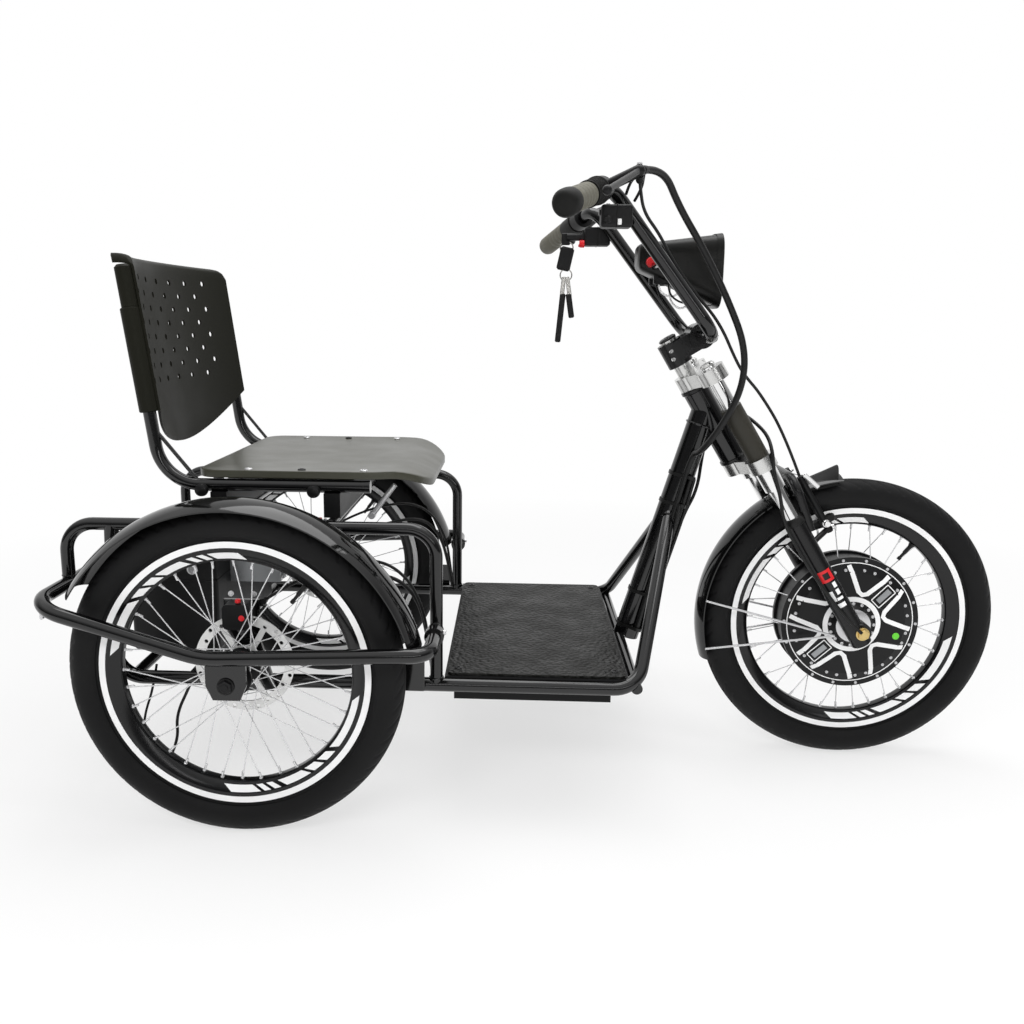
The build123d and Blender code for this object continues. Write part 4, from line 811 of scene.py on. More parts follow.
def motor_cover(side):
    """The marks, plates and bolts on one cover of the hub motor."""
    middle = wheel_middle("front")
    axis = LEFT * side
    name = "left" if side > 0 else "right"
    white = Pile()
    for number in range(MOTOR_VEES):
        cover_line(white, side, 15 + 360 / MOTOR_VEES * number, MOTOR_VEE, 8.0)
    for turn in PLATE_TURNS:
        for a, b in zip(PLATE_FRAME, PLATE_FRAME[1:]):
            cover_line(white, side, turn, [a, b], 1.6)
    edge_ring = [(111.2, 26.6), (111.2, 27.3), (109.6, 27.3), (109.6, 26.6)]
    white.lathe(edge_ring, middle, axis, sides=120, closed=True)
    hub_ring = [(50.5, 36.5), (50.5, 37.6), (42, 38.2), (42, 36.5)]
    white.lathe(hub_ring, middle, axis, sides=90, closed=True)
    white.piece(f"motor_marks_{name}", "white", "front_wheel")
    bolts = Pile()
    for number in range(COVER_BOLTS):
        for shift in (-5.5, 5.5):
            turn = 15 + 360 / COVER_BOLTS * number + shift
            bolts.bolt(on_cover(side, turn, 99, 0, -0.6), axis, 2.9, 2.4)
    for number in range(FLANGE_BOLTS):
        turn = 360 / FLANGE_BOLTS * number + 10 * (side > 0)
        bolts.bolt(on_wheel(middle, 115.5, turn, side * 26.9), axis, 2.8, 1.8)
    for number in range(HUB_BOLTS):
        bolts.bolt(on_cover(side, 360 / HUB_BOLTS * number, 38.4, 0, -0.3), axis, 3.0, 2.4)
    washer = [(8, 45.8), (29, 45.8), (30.2, 46.2), (29, 46.9), (8, 46.9)]
    bolts.lathe(washer, middle, axis, sides=60, closed=True)
    bolts.piece(f"motor_bolts_{name}", "steel", "front_wheel")
    plates = Pile()
    for turn in PLATE_TURNS:
        low = [on_cover(side, turn, a, -5, 1.0) for a in (60, 88)]
        high = [on_cover(side, turn, a, 5, 1.0) for a in (60, 88)]
        plates.ribbon(low, high, LEFT * (-side * 1.4 * MM))
    plates.piece(f"motor_plates_{name}", "controller", "front_wheel")


def motor_dot():
    """The round green sticker on the right cover."""
    dot = Pile()
    dot.lathe([(6.2, 0), (6.2, 0.5), (5.8, 0.7)], on_cover(-1, -15, 83, 0, 0), LEFT * -1, sides=28)
    dot.piece("motor_dot", "green", "front_wheel")


# Axles and brakes

AXLE_RADIUS = 6.0
REAR_AXLE_RUN = (255.0, 385.0)      # from its inner end to its outer end
REAR_NUT_Y = (263.7, 376.3)
FRONT_AXLE_HALF = 97.3
FRONT_NUT_Y = 88.3
CALIPER_FACE_Y = 264.0


def axles():
    """The axles, with a hexagon nut and a washer at each end."""
    rear = Pile()
    for side in (1, -1):
        inside, outside = [at(0, side * y, AXLE_Z) for y in REAR_AXLE_RUN]
        inner_nut, outer_nut = [at(0, side * y, AXLE_Z) for y in REAR_NUT_Y]
        rear.rod(inside, outside, AXLE_RADIUS)
        rear.nut(outer_nut, LEFT * side, 19, 7.6)
        rear.nut(inner_nut, LEFT * -side, 19, 7.6)
    rear.piece("rear_axle_nuts", "hub", "frame", ["rear_axles"])
    front = Pile()
    right, left = [at(WHEELBASE, y, AXLE_Z) for y in (-FRONT_AXLE_HALF, FRONT_AXLE_HALF)]
    front.rod(right, left, AXLE_RADIUS)
    for side in (1, -1):
        front.nut(at(WHEELBASE, side * FRONT_NUT_Y, AXLE_Z), LEFT * side, 17, 8)
    front.piece("front_axle_nuts", "brass", "steering", ["front_axle"])


def calipers():
    """The red adjusters, the arm and the bolts on each rear caliper."""
    red = Pile()
    arms = Pile()
    bolts = Pile()
    for side in (1, -1):
        face = side * CALIPER_FACE_Y
        red.lathe([(7, 0), (7, 5), (5, 6.5), (3, 6.5)], at(-6, face, 342), LEFT * -side, sides=20)
        red.lathe([(4.6, 0), (4.6, 4), (3.6, 5.2), (2, 5.2)], at(-5, side * 289, 356.5), UP, sides=24)
        red.lathe([(4.6, 0), (4.6, 0.5), (4, 0.8)], at(2, side * 297.8, 334), LEFT * side, sides=28)
        arms.box(at(6, side * 259, 347), (40, 4, 12))
        arms.rod(at(26, side * 262, 349), at(26, side * 250, 349), 5)
        for x in (-24, 12):
            bolts.bolt(at(x, face, 362), LEFT * -side, 4.5, 4)
    red.piece("caliper_adjusters", "red", "frame")
    arms.piece("caliper_arms", "brake_arm", "frame")
    bolts.piece("caliper_bolts", "steel", "frame")


# Fork and steering

# Marks on the legs: lower and upper height, first and last angle
RED_FRAME = [(112, 117, -38, 38), (129, 134, -38, 38), (117, 129, -38, -18), (117, 129, 18, 38)]
WHITE_BARS = [(98, 108, 8, 30), (74, 94, -30, -12), (74, 79, -8, 28), (84, 94, 6, 28), (60, 68, -26, 24)]


def on_leg(side, up, angle, radius):
    """A place on a lower leg's skin: its height, and its angle from outwards to the front."""
    out = LEFT * (side * cos(radians(angle))) + FORK_AHEAD * sin(radians(angle))
    return fork_point(LEG_FORWARD, side * LEG_Y, up) + out * (radius * MM)


def leg_patch(pile, side, low, high, first, last):
    """A thin patch on a lower leg, between two heights and two angles."""
    angles = [first + (last - first) * number / 6 for number in range(7)]
    radius = LOWER_RADIUS + 0.5
    bottom = [on_leg(side, low, angle, radius) for angle in angles]
    top = [on_leg(side, high, angle, radius) for angle in angles]
    pile.ribbon(bottom, top, LEFT * (-side * 0.6 * MM))


def fork_marks():
    """A red square and white bars on the outside of each lower leg."""
    red = Pile()
    white = Pile()
    for side in (1, -1):
        for row in RED_FRAME:
            leg_patch(red, side, *row)
        for row in WHITE_BARS:
            leg_patch(white, side, *row)
    red.piece("fork_red_marks", "red", "steering")
    white.piece("fork_white_marks", "white", "steering")


def fork_fittings():
    """Dust seals, caps on the legs and the steerer, lugs at the axle, and the head tube's cups."""
    seals = Pile()
    bright = Pile()
    caps = Pile()
    for side in (1, -1):
        seal = [(17.2, LOWER_TOP - 9), (18.6, LOWER_TOP - 8), (18.6, LOWER_TOP - 1), (16.4, LOWER_TOP + 4),
                (13.1, LOWER_TOP + 5), (13.1, LOWER_TOP - 9)]
        seals.lathe(seal, fork_point(LEG_FORWARD, side * LEG_Y, 0), FORK_UP, sides=40, closed=True)
        top = CROWN_HIGH + 16
        cap = [(12, top - 1), (12.6, top), (12.6, top + 3), (10, top + 5.5), (4, top + 5.5), (3.6, top + 2.5)]
        bright.lathe(cap, fork_point(LEG_FORWARD, side * LEG_Y, 0), FORK_UP, sides=32)
        lug = [(16, -14), (17.4, -12), (17.4, 12), (16, 14)]
        caps.lathe(lug, fork_point(LEG_FORWARD + 6, side * LEG_Y, 0), LEFT, sides=32)
    steerer = [(14, 601), (15.6, 602), (15.6, 605), (12, 607), (5, 607), (4.5, 604)]
    caps.lathe(steerer, fork_point(0, 0, 0), FORK_UP, sides=32)
    for up in (CROWN_LOW + 15.5, CROWN_HIGH - 15.5):
        cup = [(22.8, up - 6), (25.2, up - 4), (25.2, up + 1), (22.8, up + 2)]
        caps.lathe(cup, fork_point(0, 0, 0), FORK_UP, sides=48, closed=True)
    seals.piece("fork_seals", "cable", "steering")
    bright.piece("leg_caps", "crown_alloy", "steering")
    caps.piece("fork_caps", "fork_paint", "steering")


def stem_fittings():
    """The bolts of the stem and of the handlebar's clamp, with the clamp's cap."""
    bolts = Pile()
    for side in (1, -1):
        for ahead, up in ((-7, 584), (-10, 570)):
            bolts.bolt(fork_point(ahead, side * 20.5, up), LEFT * side, 4, 3.5)
        for up in (566, 594):
            bolts.bolt(fork_point(71, side * 17, up), FORK_AHEAD, 4, 4)
    bolts.piece("stem_bolts", "chrome", "steering")
    cap = Pile()
    for up in (566, 594):
        cap.box(fork_point(62, 0, up), (18, 50, 13), (FORK_AHEAD, LEFT, FORK_UP), 2.5)
    cap.piece("stem_cap", "brake_arm", "steering")


def front_brake():
    """Pivot bolts, pads and their nuts, springs, the link and the inner wire of the rim brake."""
    bright = Pile()
    for side in (1, -1):
        bright.bolt(fork_point(82, side * 40, 178), FORK_AHEAD, 5, 5)
        bright.nut(fork_point(76, side * 46, 190), LEFT * side, 10, 8)
        bright.bolt(fork_point(82, side * 40, 278), FORK_AHEAD, 4, 5)
    bright.rod(fork_point(76, -40, 287), fork_point(76, 44, 280), 0.9, sides=8)
    bright.rod(fork_point(76, 38, 280), fork_point(76, 52, 279), 3.2)
    link = (FORK_UP * -0.95 + FORK_AHEAD * 0.31).normalized()
    bright.box(fork_point(88, -46, 270), (8, 6, 36), (link.cross(LEFT), LEFT, link), 1.5)
    bright.piece("rim_brake_bolts", "chrome", "steering")
    springs = Pile()
    for side in (1, -1):
        springs.rod(fork_point(68, side * 47, 186), fork_point(68, side * 45, 272), 1.2, sides=8)
        springs.box(fork_point(76, side * 28, 190), (44, 9, 11), (FORK_AHEAD, LEFT, FORK_UP), 2)
    springs.piece("rim_brake_pads", "cable", "steering")


FENDER_RADIUS = 269.0
FENDER_HALF = 31.0
FENDER_CROWN = (9.0, 27.0)          # how far its sides hang, where the flared end starts and at its tip
FENDER_TIP = (97.0, 113.0)          # the angles of the flared front end
FENDER_FLARE = 14.0
FENDER_SHEET = 2.2
FENDER_CUT = 2.5                    # how far the sides of the tip are cut back, in degrees


def fender_tip():
    """The front fender's flared front end, which lifts off the tyre."""
    first, last = FENDER_TIP
    outside = []
    inside = []
    for step in range(13):
        share = step / 12
        angle = last + (first - last) * share
        radius = FENDER_RADIUS + 0.4 + FENDER_FLARE * share ** 2
        outside.append(fender_row(radius, angle, share))
        inside.append(fender_row(radius - FENDER_SHEET, angle, share))
    pile = Pile()
    pile.rows([skin + list(reversed(under)) for skin, under in zip(outside, inside)])
    pile.piece("front_fender_tip", "flap", "steering")


def fender_row(radius, angle, share):
    """A crowned line across the front fender, at a share of the way to its tip."""
    middle = wheel_middle("front")
    low, high = FENDER_CROWN
    crown = low + (high - low) * share
    row = []
    for number in range(17):
        out = number / 8 - 1
        turn = angle + FENDER_CUT * share * out ** 2
        row.append(on_wheel(middle, radius - crown * out ** 2, turn, FENDER_HALF * out))
    return row


# Handlebar controls

def grips():
    """The grips: grey sleeves with a bulbous dark cap on the right, and the ribbed throttle beside it."""
    grey = Pile()
    dark = Pile()
    ribbed = Pile()
    for side in (1, -1):
        end, along = bar_line(side)
        start = 30 if side < 0 else 0
        sleeve = [(11.4, start), (16.6, start), (17.8, start + 5)]
        for step in range(4):
            place = 45 + 13 * step
            sleeve += [(17.9, place), (17.2, place + 1), (17.2, place + 3), (17.9, place + 4)]
        sleeve += [(17.8, 97), (16.8, 100), (11.4, 100)]
        grey.lathe(sleeve, end, along, sides=48, closed=True)
    end, along = bar_line(-1)
    cap = [(4, -6), (12, -5.4), (16.5, -2.5), (19.4, 4), (19.8, 14), (19.4, 24), (17.6, 30), (11.4, 30)]
    dark.lathe(cap, end, along, sides=48)
    ribs = [(11.4, 100.3), (19.4, 100.3)]
    for step in range(9):
        place = 103 + 4.4 * step
        ribs += [(19.6, place), (18.2, place + 0.8), (18.2, place + 2.4), (19.6, place + 3.2)]
    ribs += [(21, 143), (21, 146), (11.4, 146)]
    ribbed.lathe(ribs, end, along, sides=48, closed=True)
    end, along = bar_line(1)
    inner = [(11.4, 100.5), (17.6, 100.5), (18.4, 104), (18.4, 138), (20.5, 140), (20.5, 144), (11.4, 145)]
    dark.lathe(inner, end, along, sides=48, closed=True)
    dark.lathe([(4.5, -1.2), (4.5, 0.5), (11, 0.5)], end, along, sides=24)
    grey.piece("grip_sleeves", "grip", "steering", ["grips"])
    dark.piece("grip_caps", "throttle", "steering")
    ribbed.piece("throttle_ribs", "throttle", "steering", ["throttle"])


def lever_fittings():
    """Pivot bolts and cable adjusters on the brake levers."""
    bolts = Pile()
    for side in (1, -1):
        knuckle = knuckle_at(side)
        bolts.bolt(knuckle + UP * (8.4 * MM), UP, 4.2, 3)
    bolts.piece("lever_bolts", "steel", "steering")
    adjusters = Pile()
    knuckle = knuckle_at(-1)
    for route in (LOOM_ROUTE, BRAKE_CABLE_ROUTE):
        out = (from_clamp(*route[0]) - knuckle).normalized()
        adjusters.lathe([(4, 7), (6.6, 8), (6.6, 13), (6, 14), (6, 17), (4.5, 20)], knuckle, out, sides=20)
    adjusters.piece("cable_adjusters", "brake_arm", "steering")


SWITCH_BOX = (564.3, 159.0, 940.9)
SWITCH_LENGTH = 48.0


def switch_fittings():
    """Seams and buttons on the two control boxes."""
    x, y, z = SWITCH_BOX
    half = SWITCH_LENGTH / 2
    button = [(5.5, 0), (5.5, 3), (4.5, 4)]
    black = Pile()
    for side in (1, -1):
        black.box(at(x, side * y, z), (1.6, 33, 35), edge=0.4)
        black.box(at(x - half, side * y, z + 6), (5, 20, 9), edge=1.5)
        black.lathe(button, at(x - half + 10, side * (y + 16), z - 6), LEFT * side, sides=24)
    black.piece("switch_seams", "cable", "steering")
    white = Pile()
    white.box(at(x + 4, -(y + 16), z - 9), (6, 2.4, 9), edge=0.8)
    white.piece("switch_button", "white", "steering")
    red = Pile()
    red.lathe([(7, 0), (7, 7), (5.5, 9)], at(x - half, y - 6, z - 13), FORWARD * -1, sides=24)
    red.box(at(x - half - 4, y + 8, z - 15), (12, 9, 6), edge=1.5)
    red.piece("stop_switch", "red", "steering")


KEY_END = (508.0, 159.0, 940.9)


def keys():
    """The key in its switch, two rings, the fob and the two keys that hang from them."""
    x, y, z = KEY_END
    metal = Pile()
    dark = Pile()
    dark.lathe([(7, 0), (7, 26), (9, 26), (9, 32)], at(x, y, z), FORWARD, sides=32)
    dark.box(at(x - 2, y, z - 4), (16, 3, 22), edge=1.2)
    metal.bead(at(x, y, z - 20), LEFT, 12, 1.2)
    metal.bead(at(x, y, z - 70), LEFT, 11, 1.2)
    tilt = Matrix.Rotation(radians(12), 3, "Y")
    axes = (tilt @ FORWARD, LEFT, tilt @ UP)
    dark.box(at(x - 2, y, z - 40), (26, 7, 44), axes, 3.5)
    for shift, drop, lean in ((9, 150, -9), (-9, 196, 5)):
        turn = Matrix.Rotation(radians(lean), 3, "Y")
        axes = (turn @ FORWARD, LEFT, turn @ UP)
        metal.box(at(x + 0.6 * shift, y, z - 92), (8, 2.4, 38), axes, 0.8)
        dark.box(at(x + shift, y, z - (drop + 104) / 2), (11, 5, drop - 104), axes, 2)
    metal.piece("key_ring", "key_metal", "steering", ["key_bunch"])
    dark.piece("key_fobs", "case_plastic", "steering")


# The lamp's ends: ahead of the bar's clamp, above it, width and height
LAMP_REAR = (-113.0, 131.0, 66.0, 44.0)
LAMP_FRONT = (17.0, 109.0, 100.0, 118.0)
LAMP_WALL = 3.0
LAMP_SQUARE = 0.45                  # 1 is an oval, less is squarer


def lamp_ring(share, inset):
    """One upright section of the lamp's shell, as a rounded frame."""
    ahead, up, width, height = [low + (high - low) * share for low, high in zip(LAMP_REAR, LAMP_FRONT)]
    ring = []
    for angle in around(64):
        wide = abs(cos(angle)) ** LAMP_SQUARE * (1 if cos(angle) >= 0 else -1)
        high = abs(sin(angle)) ** LAMP_SQUARE * (1 if sin(angle) >= 0 else -1)
        ring.append(from_clamp(ahead, wide * (width / 2 - inset), up + high * (height / 2 - inset)))
    return ring


def headlamp():
    """The lamp: a tapering shell, its reflector, light unit and bezel, the horn button and the mounts."""
    shell = Pile()
    outside = [lamp_ring(0.0, 5.0), lamp_ring(0.02, 1.5)]
    outside += [lamp_ring(0.05 + 0.19 * k, 0.0) for k in range(6)]
    inside = [lamp_ring(1.0 - 0.1 * k, LAMP_WALL) for k in range(7)]
    shell.rows(outside + inside)
    shell.piece("lamp_housing", "lamp_shell", "steering", ["headlamp"])
    dish = Pile()
    middle = from_clamp(LAMP_FRONT[0] - 34, 0, LAMP_FRONT[1])
    bowl = [(9, 0), (20, 3), (32, 11), (40, 22), (43, 31), (44.5, 31), (41.5, 20), (33, 9), (20, 1), (9, -2)]
    dish.lathe(bowl, middle, FORWARD, sides=64, closed=True)
    dish.lathe([(9.5, -3), (9.5, 8), (7, 12), (3, 13)], middle, FORWARD, sides=28)
    dish.piece("lamp_reflector", "chrome", "steering")
    visor = Pile()
    rows = [lamp_ring(0.965, -1.4), lamp_ring(1.045, -1.6), lamp_ring(1.055, 1.5), lamp_ring(1.0, 3.4)]
    visor.rows(rows, along=True)
    visor.piece("lamp_bezel", "lamp_shell", "steering")
    button = Pile()
    place = from_clamp(-94, -36, 121)
    button.lathe([(8.6, -3), (8.6, 4), (7, 6.5), (3, 7)], place, LEFT * -1, sides=32)
    button.piece("horn_button", "red", "steering")
    collar = Pile()
    collar.lathe([(10.6, -3), (10.6, 2.5), (9, 3), (9, -3)], place, LEFT * -1, sides=32, closed=True)
    for y in (-26, 26):
        collar.box(from_clamp(-70, y, 96), (34, 9, 22), edge=2)
    collar.piece("lamp_mounts", "mount_steel", "steering")


def lamp_wires():
    """Thin wires under the lamp, looped back to the stem."""
    rows = [
        # finish, places from the bar's clamp
        ("white", [(-74, -20, 104), (-82, -26, 78), (-58, -30, 62), (-40, -24, 74), (-34, -12, 90)]),
        ("cable", [(-60, -24, 98), (-66, -34, 72), (-38, -34, 52), (-20, -20, 62), (-14, -10, 76)]),
        ("white", [(-52, 6, 96), (-60, -12, 66), (-44, -22, 44), (-24, -14, 50), (-12, 4, 72)]),
        ("cable", [(-80, 10, 108), (-76, 4, 70), (-52, -6, 40), (-34, 0, 24), (-22, 2, 14)]),
    ]
    for number, (finish, route) in enumerate(rows):
        cable(f"lamp_wire_{number}", [from_clamp(*point) for point in route], 3.4, "steering", finish)


# Seat

SEAT_REAR_X = -88.0
SEAT_FLAT_X = 216.0
SEAT_FRONT_X = 281.0
SEAT_HALF = 220.0
SEAT_CORNERS = (34.0, 105.0)        # the rear and the front corners' radii
SEAT_DISH = 5.0
SEAT_ROLL = 24.0


def seat_outline():
    """The seat's outline from above, as a round of points."""
    rear, front = SEAT_CORNERS
    corners = [
        # middle of the arc, radius, first angle
        (SEAT_FRONT_X - front, SEAT_HALF - front, front, 0),
        (SEAT_REAR_X + rear, SEAT_HALF - rear, rear, 90),
        (SEAT_REAR_X + rear, rear - SEAT_HALF, rear, 180),
        (SEAT_FRONT_X - front, front - SEAT_HALF, front, 270),
    ]
    marks = []
    for x, y, radius, first in corners:
        for step in range(13):
            angle = radians(first + 7.5 * step)
            marks.append((x + radius * cos(angle), y + radius * sin(angle)))
    points = []
    for here, after in zip(marks, marks[1:] + marks[:1]):
        run = max(abs(after[0] - here[0]), abs(after[1] - here[1]))
        steps = max(1, round(run / 24))
        for k in range(steps):
            points.append(tuple(a + (b - a) * k / steps for a, b in zip(here, after)))
    return points


def seat_height(x, share):
    """The seat's top: slightly dished, and rolled down at its front edge."""
    roll = max(0.0, x - SEAT_FLAT_X) / (SEAT_FRONT_X - SEAT_FLAT_X)
    return SEAT_Z - SEAT_DISH * (1 - share ** 4) - SEAT_ROLL * roll ** 2


def seat():
    """The moulded seat: a dished top, a rounded edge, a lip and the underside."""
    middle = (SEAT_REAR_X + SEAT_FRONT_X) / 2
    outline = seat_outline()
    rows = [(share, 0.0) for share in (0.02, 0.2, 0.4, 0.6, 0.75, 0.86, 0.93, 0.97, 0.99)]
    rows += [(0.998, 0.8), (1.0, 2.4), (1.0, 11.0), (0.996, 12.0), (0.985, 12.0), (0.98, 11.0), (0.978, 7.0)]
    rows += [(share, 7.0) for share in (0.9, 0.6, 0.3, 0.02)]
    rings = []
    for share, drop in rows:
        ring = []
        for x, y in outline:
            place = middle + (x - middle) * share
            ring.append(at(place, y * share, seat_height(place, share) - drop))
        rings.append(ring)
    pile = Pile()
    pile.rows(rings)
    # The seat's plastic holds painted sheen in its colour, as well as its own olive grey.
    pile.piece("seat_shell", "seat_plastic", "frame", ["seat_pan"])


BACK_TOP = (-188.0, 880.0)          # the tubes' line at the backrest's top
BACK_LEAN = Vector((-46.0, 0, 353.0)).normalized()
BACK_BEHIND = Vector((-353.0, 0, -46.0)).normalized()
BACK_TUBE_Y = 214.0
BACK_HALF = 216.0
BACK_FRONT = -19.0                  # the sides of its front, behind the tubes' line
BACK_SAG = 51.0
BACK_RADIUS = (BACK_HALF ** 2 + BACK_SAG ** 2) / (2 * BACK_SAG)
BACK_SHEET = 4.0
BACK_CROWN = (14.0, 4.0)            # how far its top rises in the middle and at the sides
BACK_CORNER = 14.0
BACK_SIDE_DROP = 242.0              # down to the lower ends of its sides and of its middle
BACK_MID_DROP = 309.0
LIP_DEEP = 45.0                     # the top edge rolls back along part of an oval
LIP_HIGH = 14.0
LIP_STEP = 12.0                     # degrees
HOLE_RADIUS = 5.2
HOLE_ROWS = 8
HOLE_COLUMNS = 6
HOLE_PITCH = (55.0, 24.0)
HOLE_DROP = 28.2


def back_place(y, behind, drop):
    """A place on the backrest: to the left, behind the tubes' line, and down from its top."""
    return at(BACK_TOP[0], y, BACK_TOP[1]) + (BACK_BEHIND * behind - BACK_LEAN * drop) * MM


def back_depth(y):
    """How far the backrest's front lies behind the tubes' line."""
    return BACK_FRONT + BACK_SAG - BACK_RADIUS + (BACK_RADIUS ** 2 - y ** 2) ** 0.5


def back_column(y):
    """The backrest's section at one place: up its front, over the rolled top edge and down its rear."""
    over = max(0.0, abs(y) - (BACK_HALF - BACK_CORNER))
    rise = BACK_CROWN[0] + (BACK_CROWN[1] - BACK_CROWN[0]) * (y / BACK_HALF) ** 2
    top = BACK_CORNER - (BACK_CORNER ** 2 - over ** 2) ** 0.5 - rise + LIP_HIGH
    bottom = BACK_SIDE_DROP + (BACK_MID_DROP - BACK_SIDE_DROP) * (1 - (y / BACK_HALF) ** 2)
    front = back_depth(y)
    drops = [bottom + (top - bottom) * step / 24 for step in range(24)]
    turns = [radians(LIP_STEP * step) for step in range(7)]
    outside = [(front, drop) for drop in drops]
    outside += [(front + LIP_DEEP * (1 - cos(turn)), top - LIP_HIGH * sin(turn)) for turn in turns]
    deep = LIP_DEEP - BACK_SHEET
    high = LIP_HIGH - BACK_SHEET
    inside = [(front + BACK_SHEET, drop) for drop in drops]
    inside += [(front + LIP_DEEP - deep * cos(turn), top - high * sin(turn)) for turn in turns]
    return [back_place(y, *spot) for spot in outside + inside[::-1]]


def back_holes():
    """Drills for the staggered rows of round holes, square to the sheet."""
    drills = Pile()
    across, down = HOLE_PITCH
    for row in range(HOLE_ROWS):
        shift = -0.25 if row % 2 else 0.25
        for column in range(HOLE_COLUMNS):
            y = (column - (HOLE_COLUMNS - 1) / 2 + shift) * across
            ahead = BACK_BEHIND * -(1 - (y / BACK_RADIUS) ** 2) ** 0.5 - LEFT * (y / BACK_RADIUS)
            place = back_place(y, back_depth(y), HOLE_DROP + row * down)
            drills.rod(place - ahead * (30 * MM), place + ahead * (30 * MM), HOLE_RADIUS, sides=20, edge=0.1)
    return drills


def backrest():
    """The backrest: a drilled, curved sheet, and behind each side a sleeve with a rib above it."""
    sheet = Pile()
    sheet.rows([back_column(BACK_HALF * (number / 40 - 1) * 0.999) for number in range(81)])
    whole = drilled(sheet, back_holes())
    for side in (1, -1):
        y = side * BACK_TUBE_Y
        whole.rod(back_place(y, 0, BACK_SIDE_DROP), back_place(y, 0, 80.7), 15, sides=40, edge=1.5)
        whole.rod(back_place(y, -1, 84), back_place(y, -1, 16), 13.2, sides=32, edge=4)
    # The backrest takes the seat's plastic with painted shade in its colour.
    shell = whole.piece("backrest_shell", "shaded_seat_plastic", "frame", ["backrest"])


def seat_fittings():
    """Screws on the seat's top, knobs and flat bars under it, and its silver strut."""
    bright = Pile()
    dark = Pile()
    for x, pile in ((-8, bright), (78, dark), (177, bright)):
        for y in (-200, 200):
            pile.bolt(at(x, y, SEAT_Z - 2.4), UP, 6.5, 3)
    bright.rod(at(224, -180, 524), at(186, -180, 473), 4.5)
    bright.rod(at(186, -186, 473), at(186, -172, 473), 6)
    bright.rod(at(-74, -226, 521), at(-74, -232, 521), 4)
    bright.piece("seat_screws", "steel", "frame")
    knob = [(5, 0), (9.5, 1.5), (10.5, 6), (9.5, 12), (6, 14)]
    for x in (-74, 103):
        for side in (1, -1):
            dark.lathe(knob, at(x, side * 224, 520), LEFT * side, sides=24)
            dark.box(at(x, side * 190, 517), (34, 44, 5), edge=1)
    for y in (-120, 120):
        dark.box(at(40, y, 518.5), (214, 34, 5), edge=1)
        for x in (-50, 130):
            dark.bolt(at(x, y, 521), UP, 6, 4)
    dark.piece("seat_mount_bars", "mount_steel", "frame")


# Frame fittings

def welds():
    """Weld beads where the frame's tubes meet."""
    pile = Pile()
    foot = at(*DOWN_TUBE_FOOT)
    top = at(*DOWN_TUBE_TOP)
    along = (top - foot).normalized()
    pile.bead(top - along * (31 * MM), along, 22.5, 2.4)
    strut_end = at(*down_tube_at(462.0))
    for side in (1, -1):
        strut = (strut_end - at(614, side * RAIL_Y, RAIL_Z)).normalized()
        pile.bead(strut_end - strut * (29 * MM), strut, 11, 2)
        pile.bead(at(POST_X, side * RAIL_Y, 228.5), UP, 10, 1.8)
        pile.bead(at(REAR_X, side * RAIL_Y, 384.5), UP, 10, 0.9)
        pile.bead(at(POST_X, side * 265, 310), LEFT, 11, 1.8)
        for x in (-50, 130):
            pile.bead(at(x, side * 241.5, LOOP_Z), LEFT, 9, 1.8)
        for x in (-30, 30):
            pile.rod(at(x, side * 264, 226.6), at(0.4 * x, side * 264, 226.6), 1.8, sides=8)
    pile.piece("weld_beads", "frame_paint", "frame")


def guard_clamps():
    """The clamps and bolts at the front ends of the wheel guard, and flat plates there and at the rear."""
    dark = Pile()
    bright = Pile()
    for side in (1, -1):
        ring = [(11.3, 0), (15, 0.8), (15, 17), (11.3, 18)]
        dark.lathe(ring, at(POST_X, side * 280, 310), LEFT * side, sides=32, closed=True)
        bright.bolt(at(POST_X + 14, side * 289, 316), FORWARD, 4, 4)
        bright.box(at(REAR_X + 4, side * 338, 352), (5, 26, 18), edge=1.5)
        dark.box(at(264, side * 271, 239), (32, 5, 54), edge=1.2)
    dark.piece("guard_clamps", "frame_paint", "frame")
    bright.piece("guard_bolts", "steel", "frame")


def strap(pile, a, b, axis, width):
    """A cable tie drawn round two round bars: each as a middle and a radius."""
    first, second = side_axes(axis)
    lefts = []
    rights = []
    for number in range(49):
        angle = 2 * pi * number / 48
        out = first * cos(angle) + second * sin(angle)
        middle, radius = max((a, b), key=lambda bar: bar[0].dot(out) + bar[1] * MM)
        rim_point = middle + out * ((radius + 1.4) * MM)
        lefts.append(rim_point - axis * (width / 2 * MM))
        rights.append(rim_point + axis * (width / 2 * MM))
    pile.rows([[left, right] for left, right in zip(lefts, rights)], closed=False)


def harness():
    """Cables tied along the right of the down tube, down to its foot."""
    ties = Pile()
    along = (at(*DOWN_TUBE_TOP) - at(*DOWN_TUBE_FOOT)).normalized()
    rows = [
        # diameter, places beside the down tube: height, forward, left
        (9, [(527, 0, -28), (480, 2, -28), (430, 4, -28), (380, 2, -28), (320, 6, -28), (262, 8, -28),
             (232, 10, -27)]),
        (7, [(520, 12, -24), (470, 14, -25), (425, 15, -25), (372, 16, -24), (310, 18, -24), (232, 20, -22)]),
        (7, [(512, 20, -17), (462, 23, -17), (410, 24, -17), (350, 24, -17), (290, 25, -16), (232, 26, -14)]),
        (6, [(468, 6, -35.5), (440, 10, -36.5), (404, 12, -37), (372, 10, -36.5), (345, 6, -35.5)]),
    ]
    for number, (diameter, route) in enumerate(rows):
        points = []
        for z, ahead, side in route:
            x, _, _ = down_tube_at(z)
            points.append(at(x + ahead, side, z))
        cable(f"harness_{number}", points, diameter, "frame")
    for z in (516, 466, 300, 236):
        x, _, _ = down_tube_at(z)
        strap(ties, (at(x, 0, z), DOWN_TUBE_RADIUS), (at(x + 10, -26, z), 8), along, 6)
    ties.piece("cable_ties", "cable", "frame")


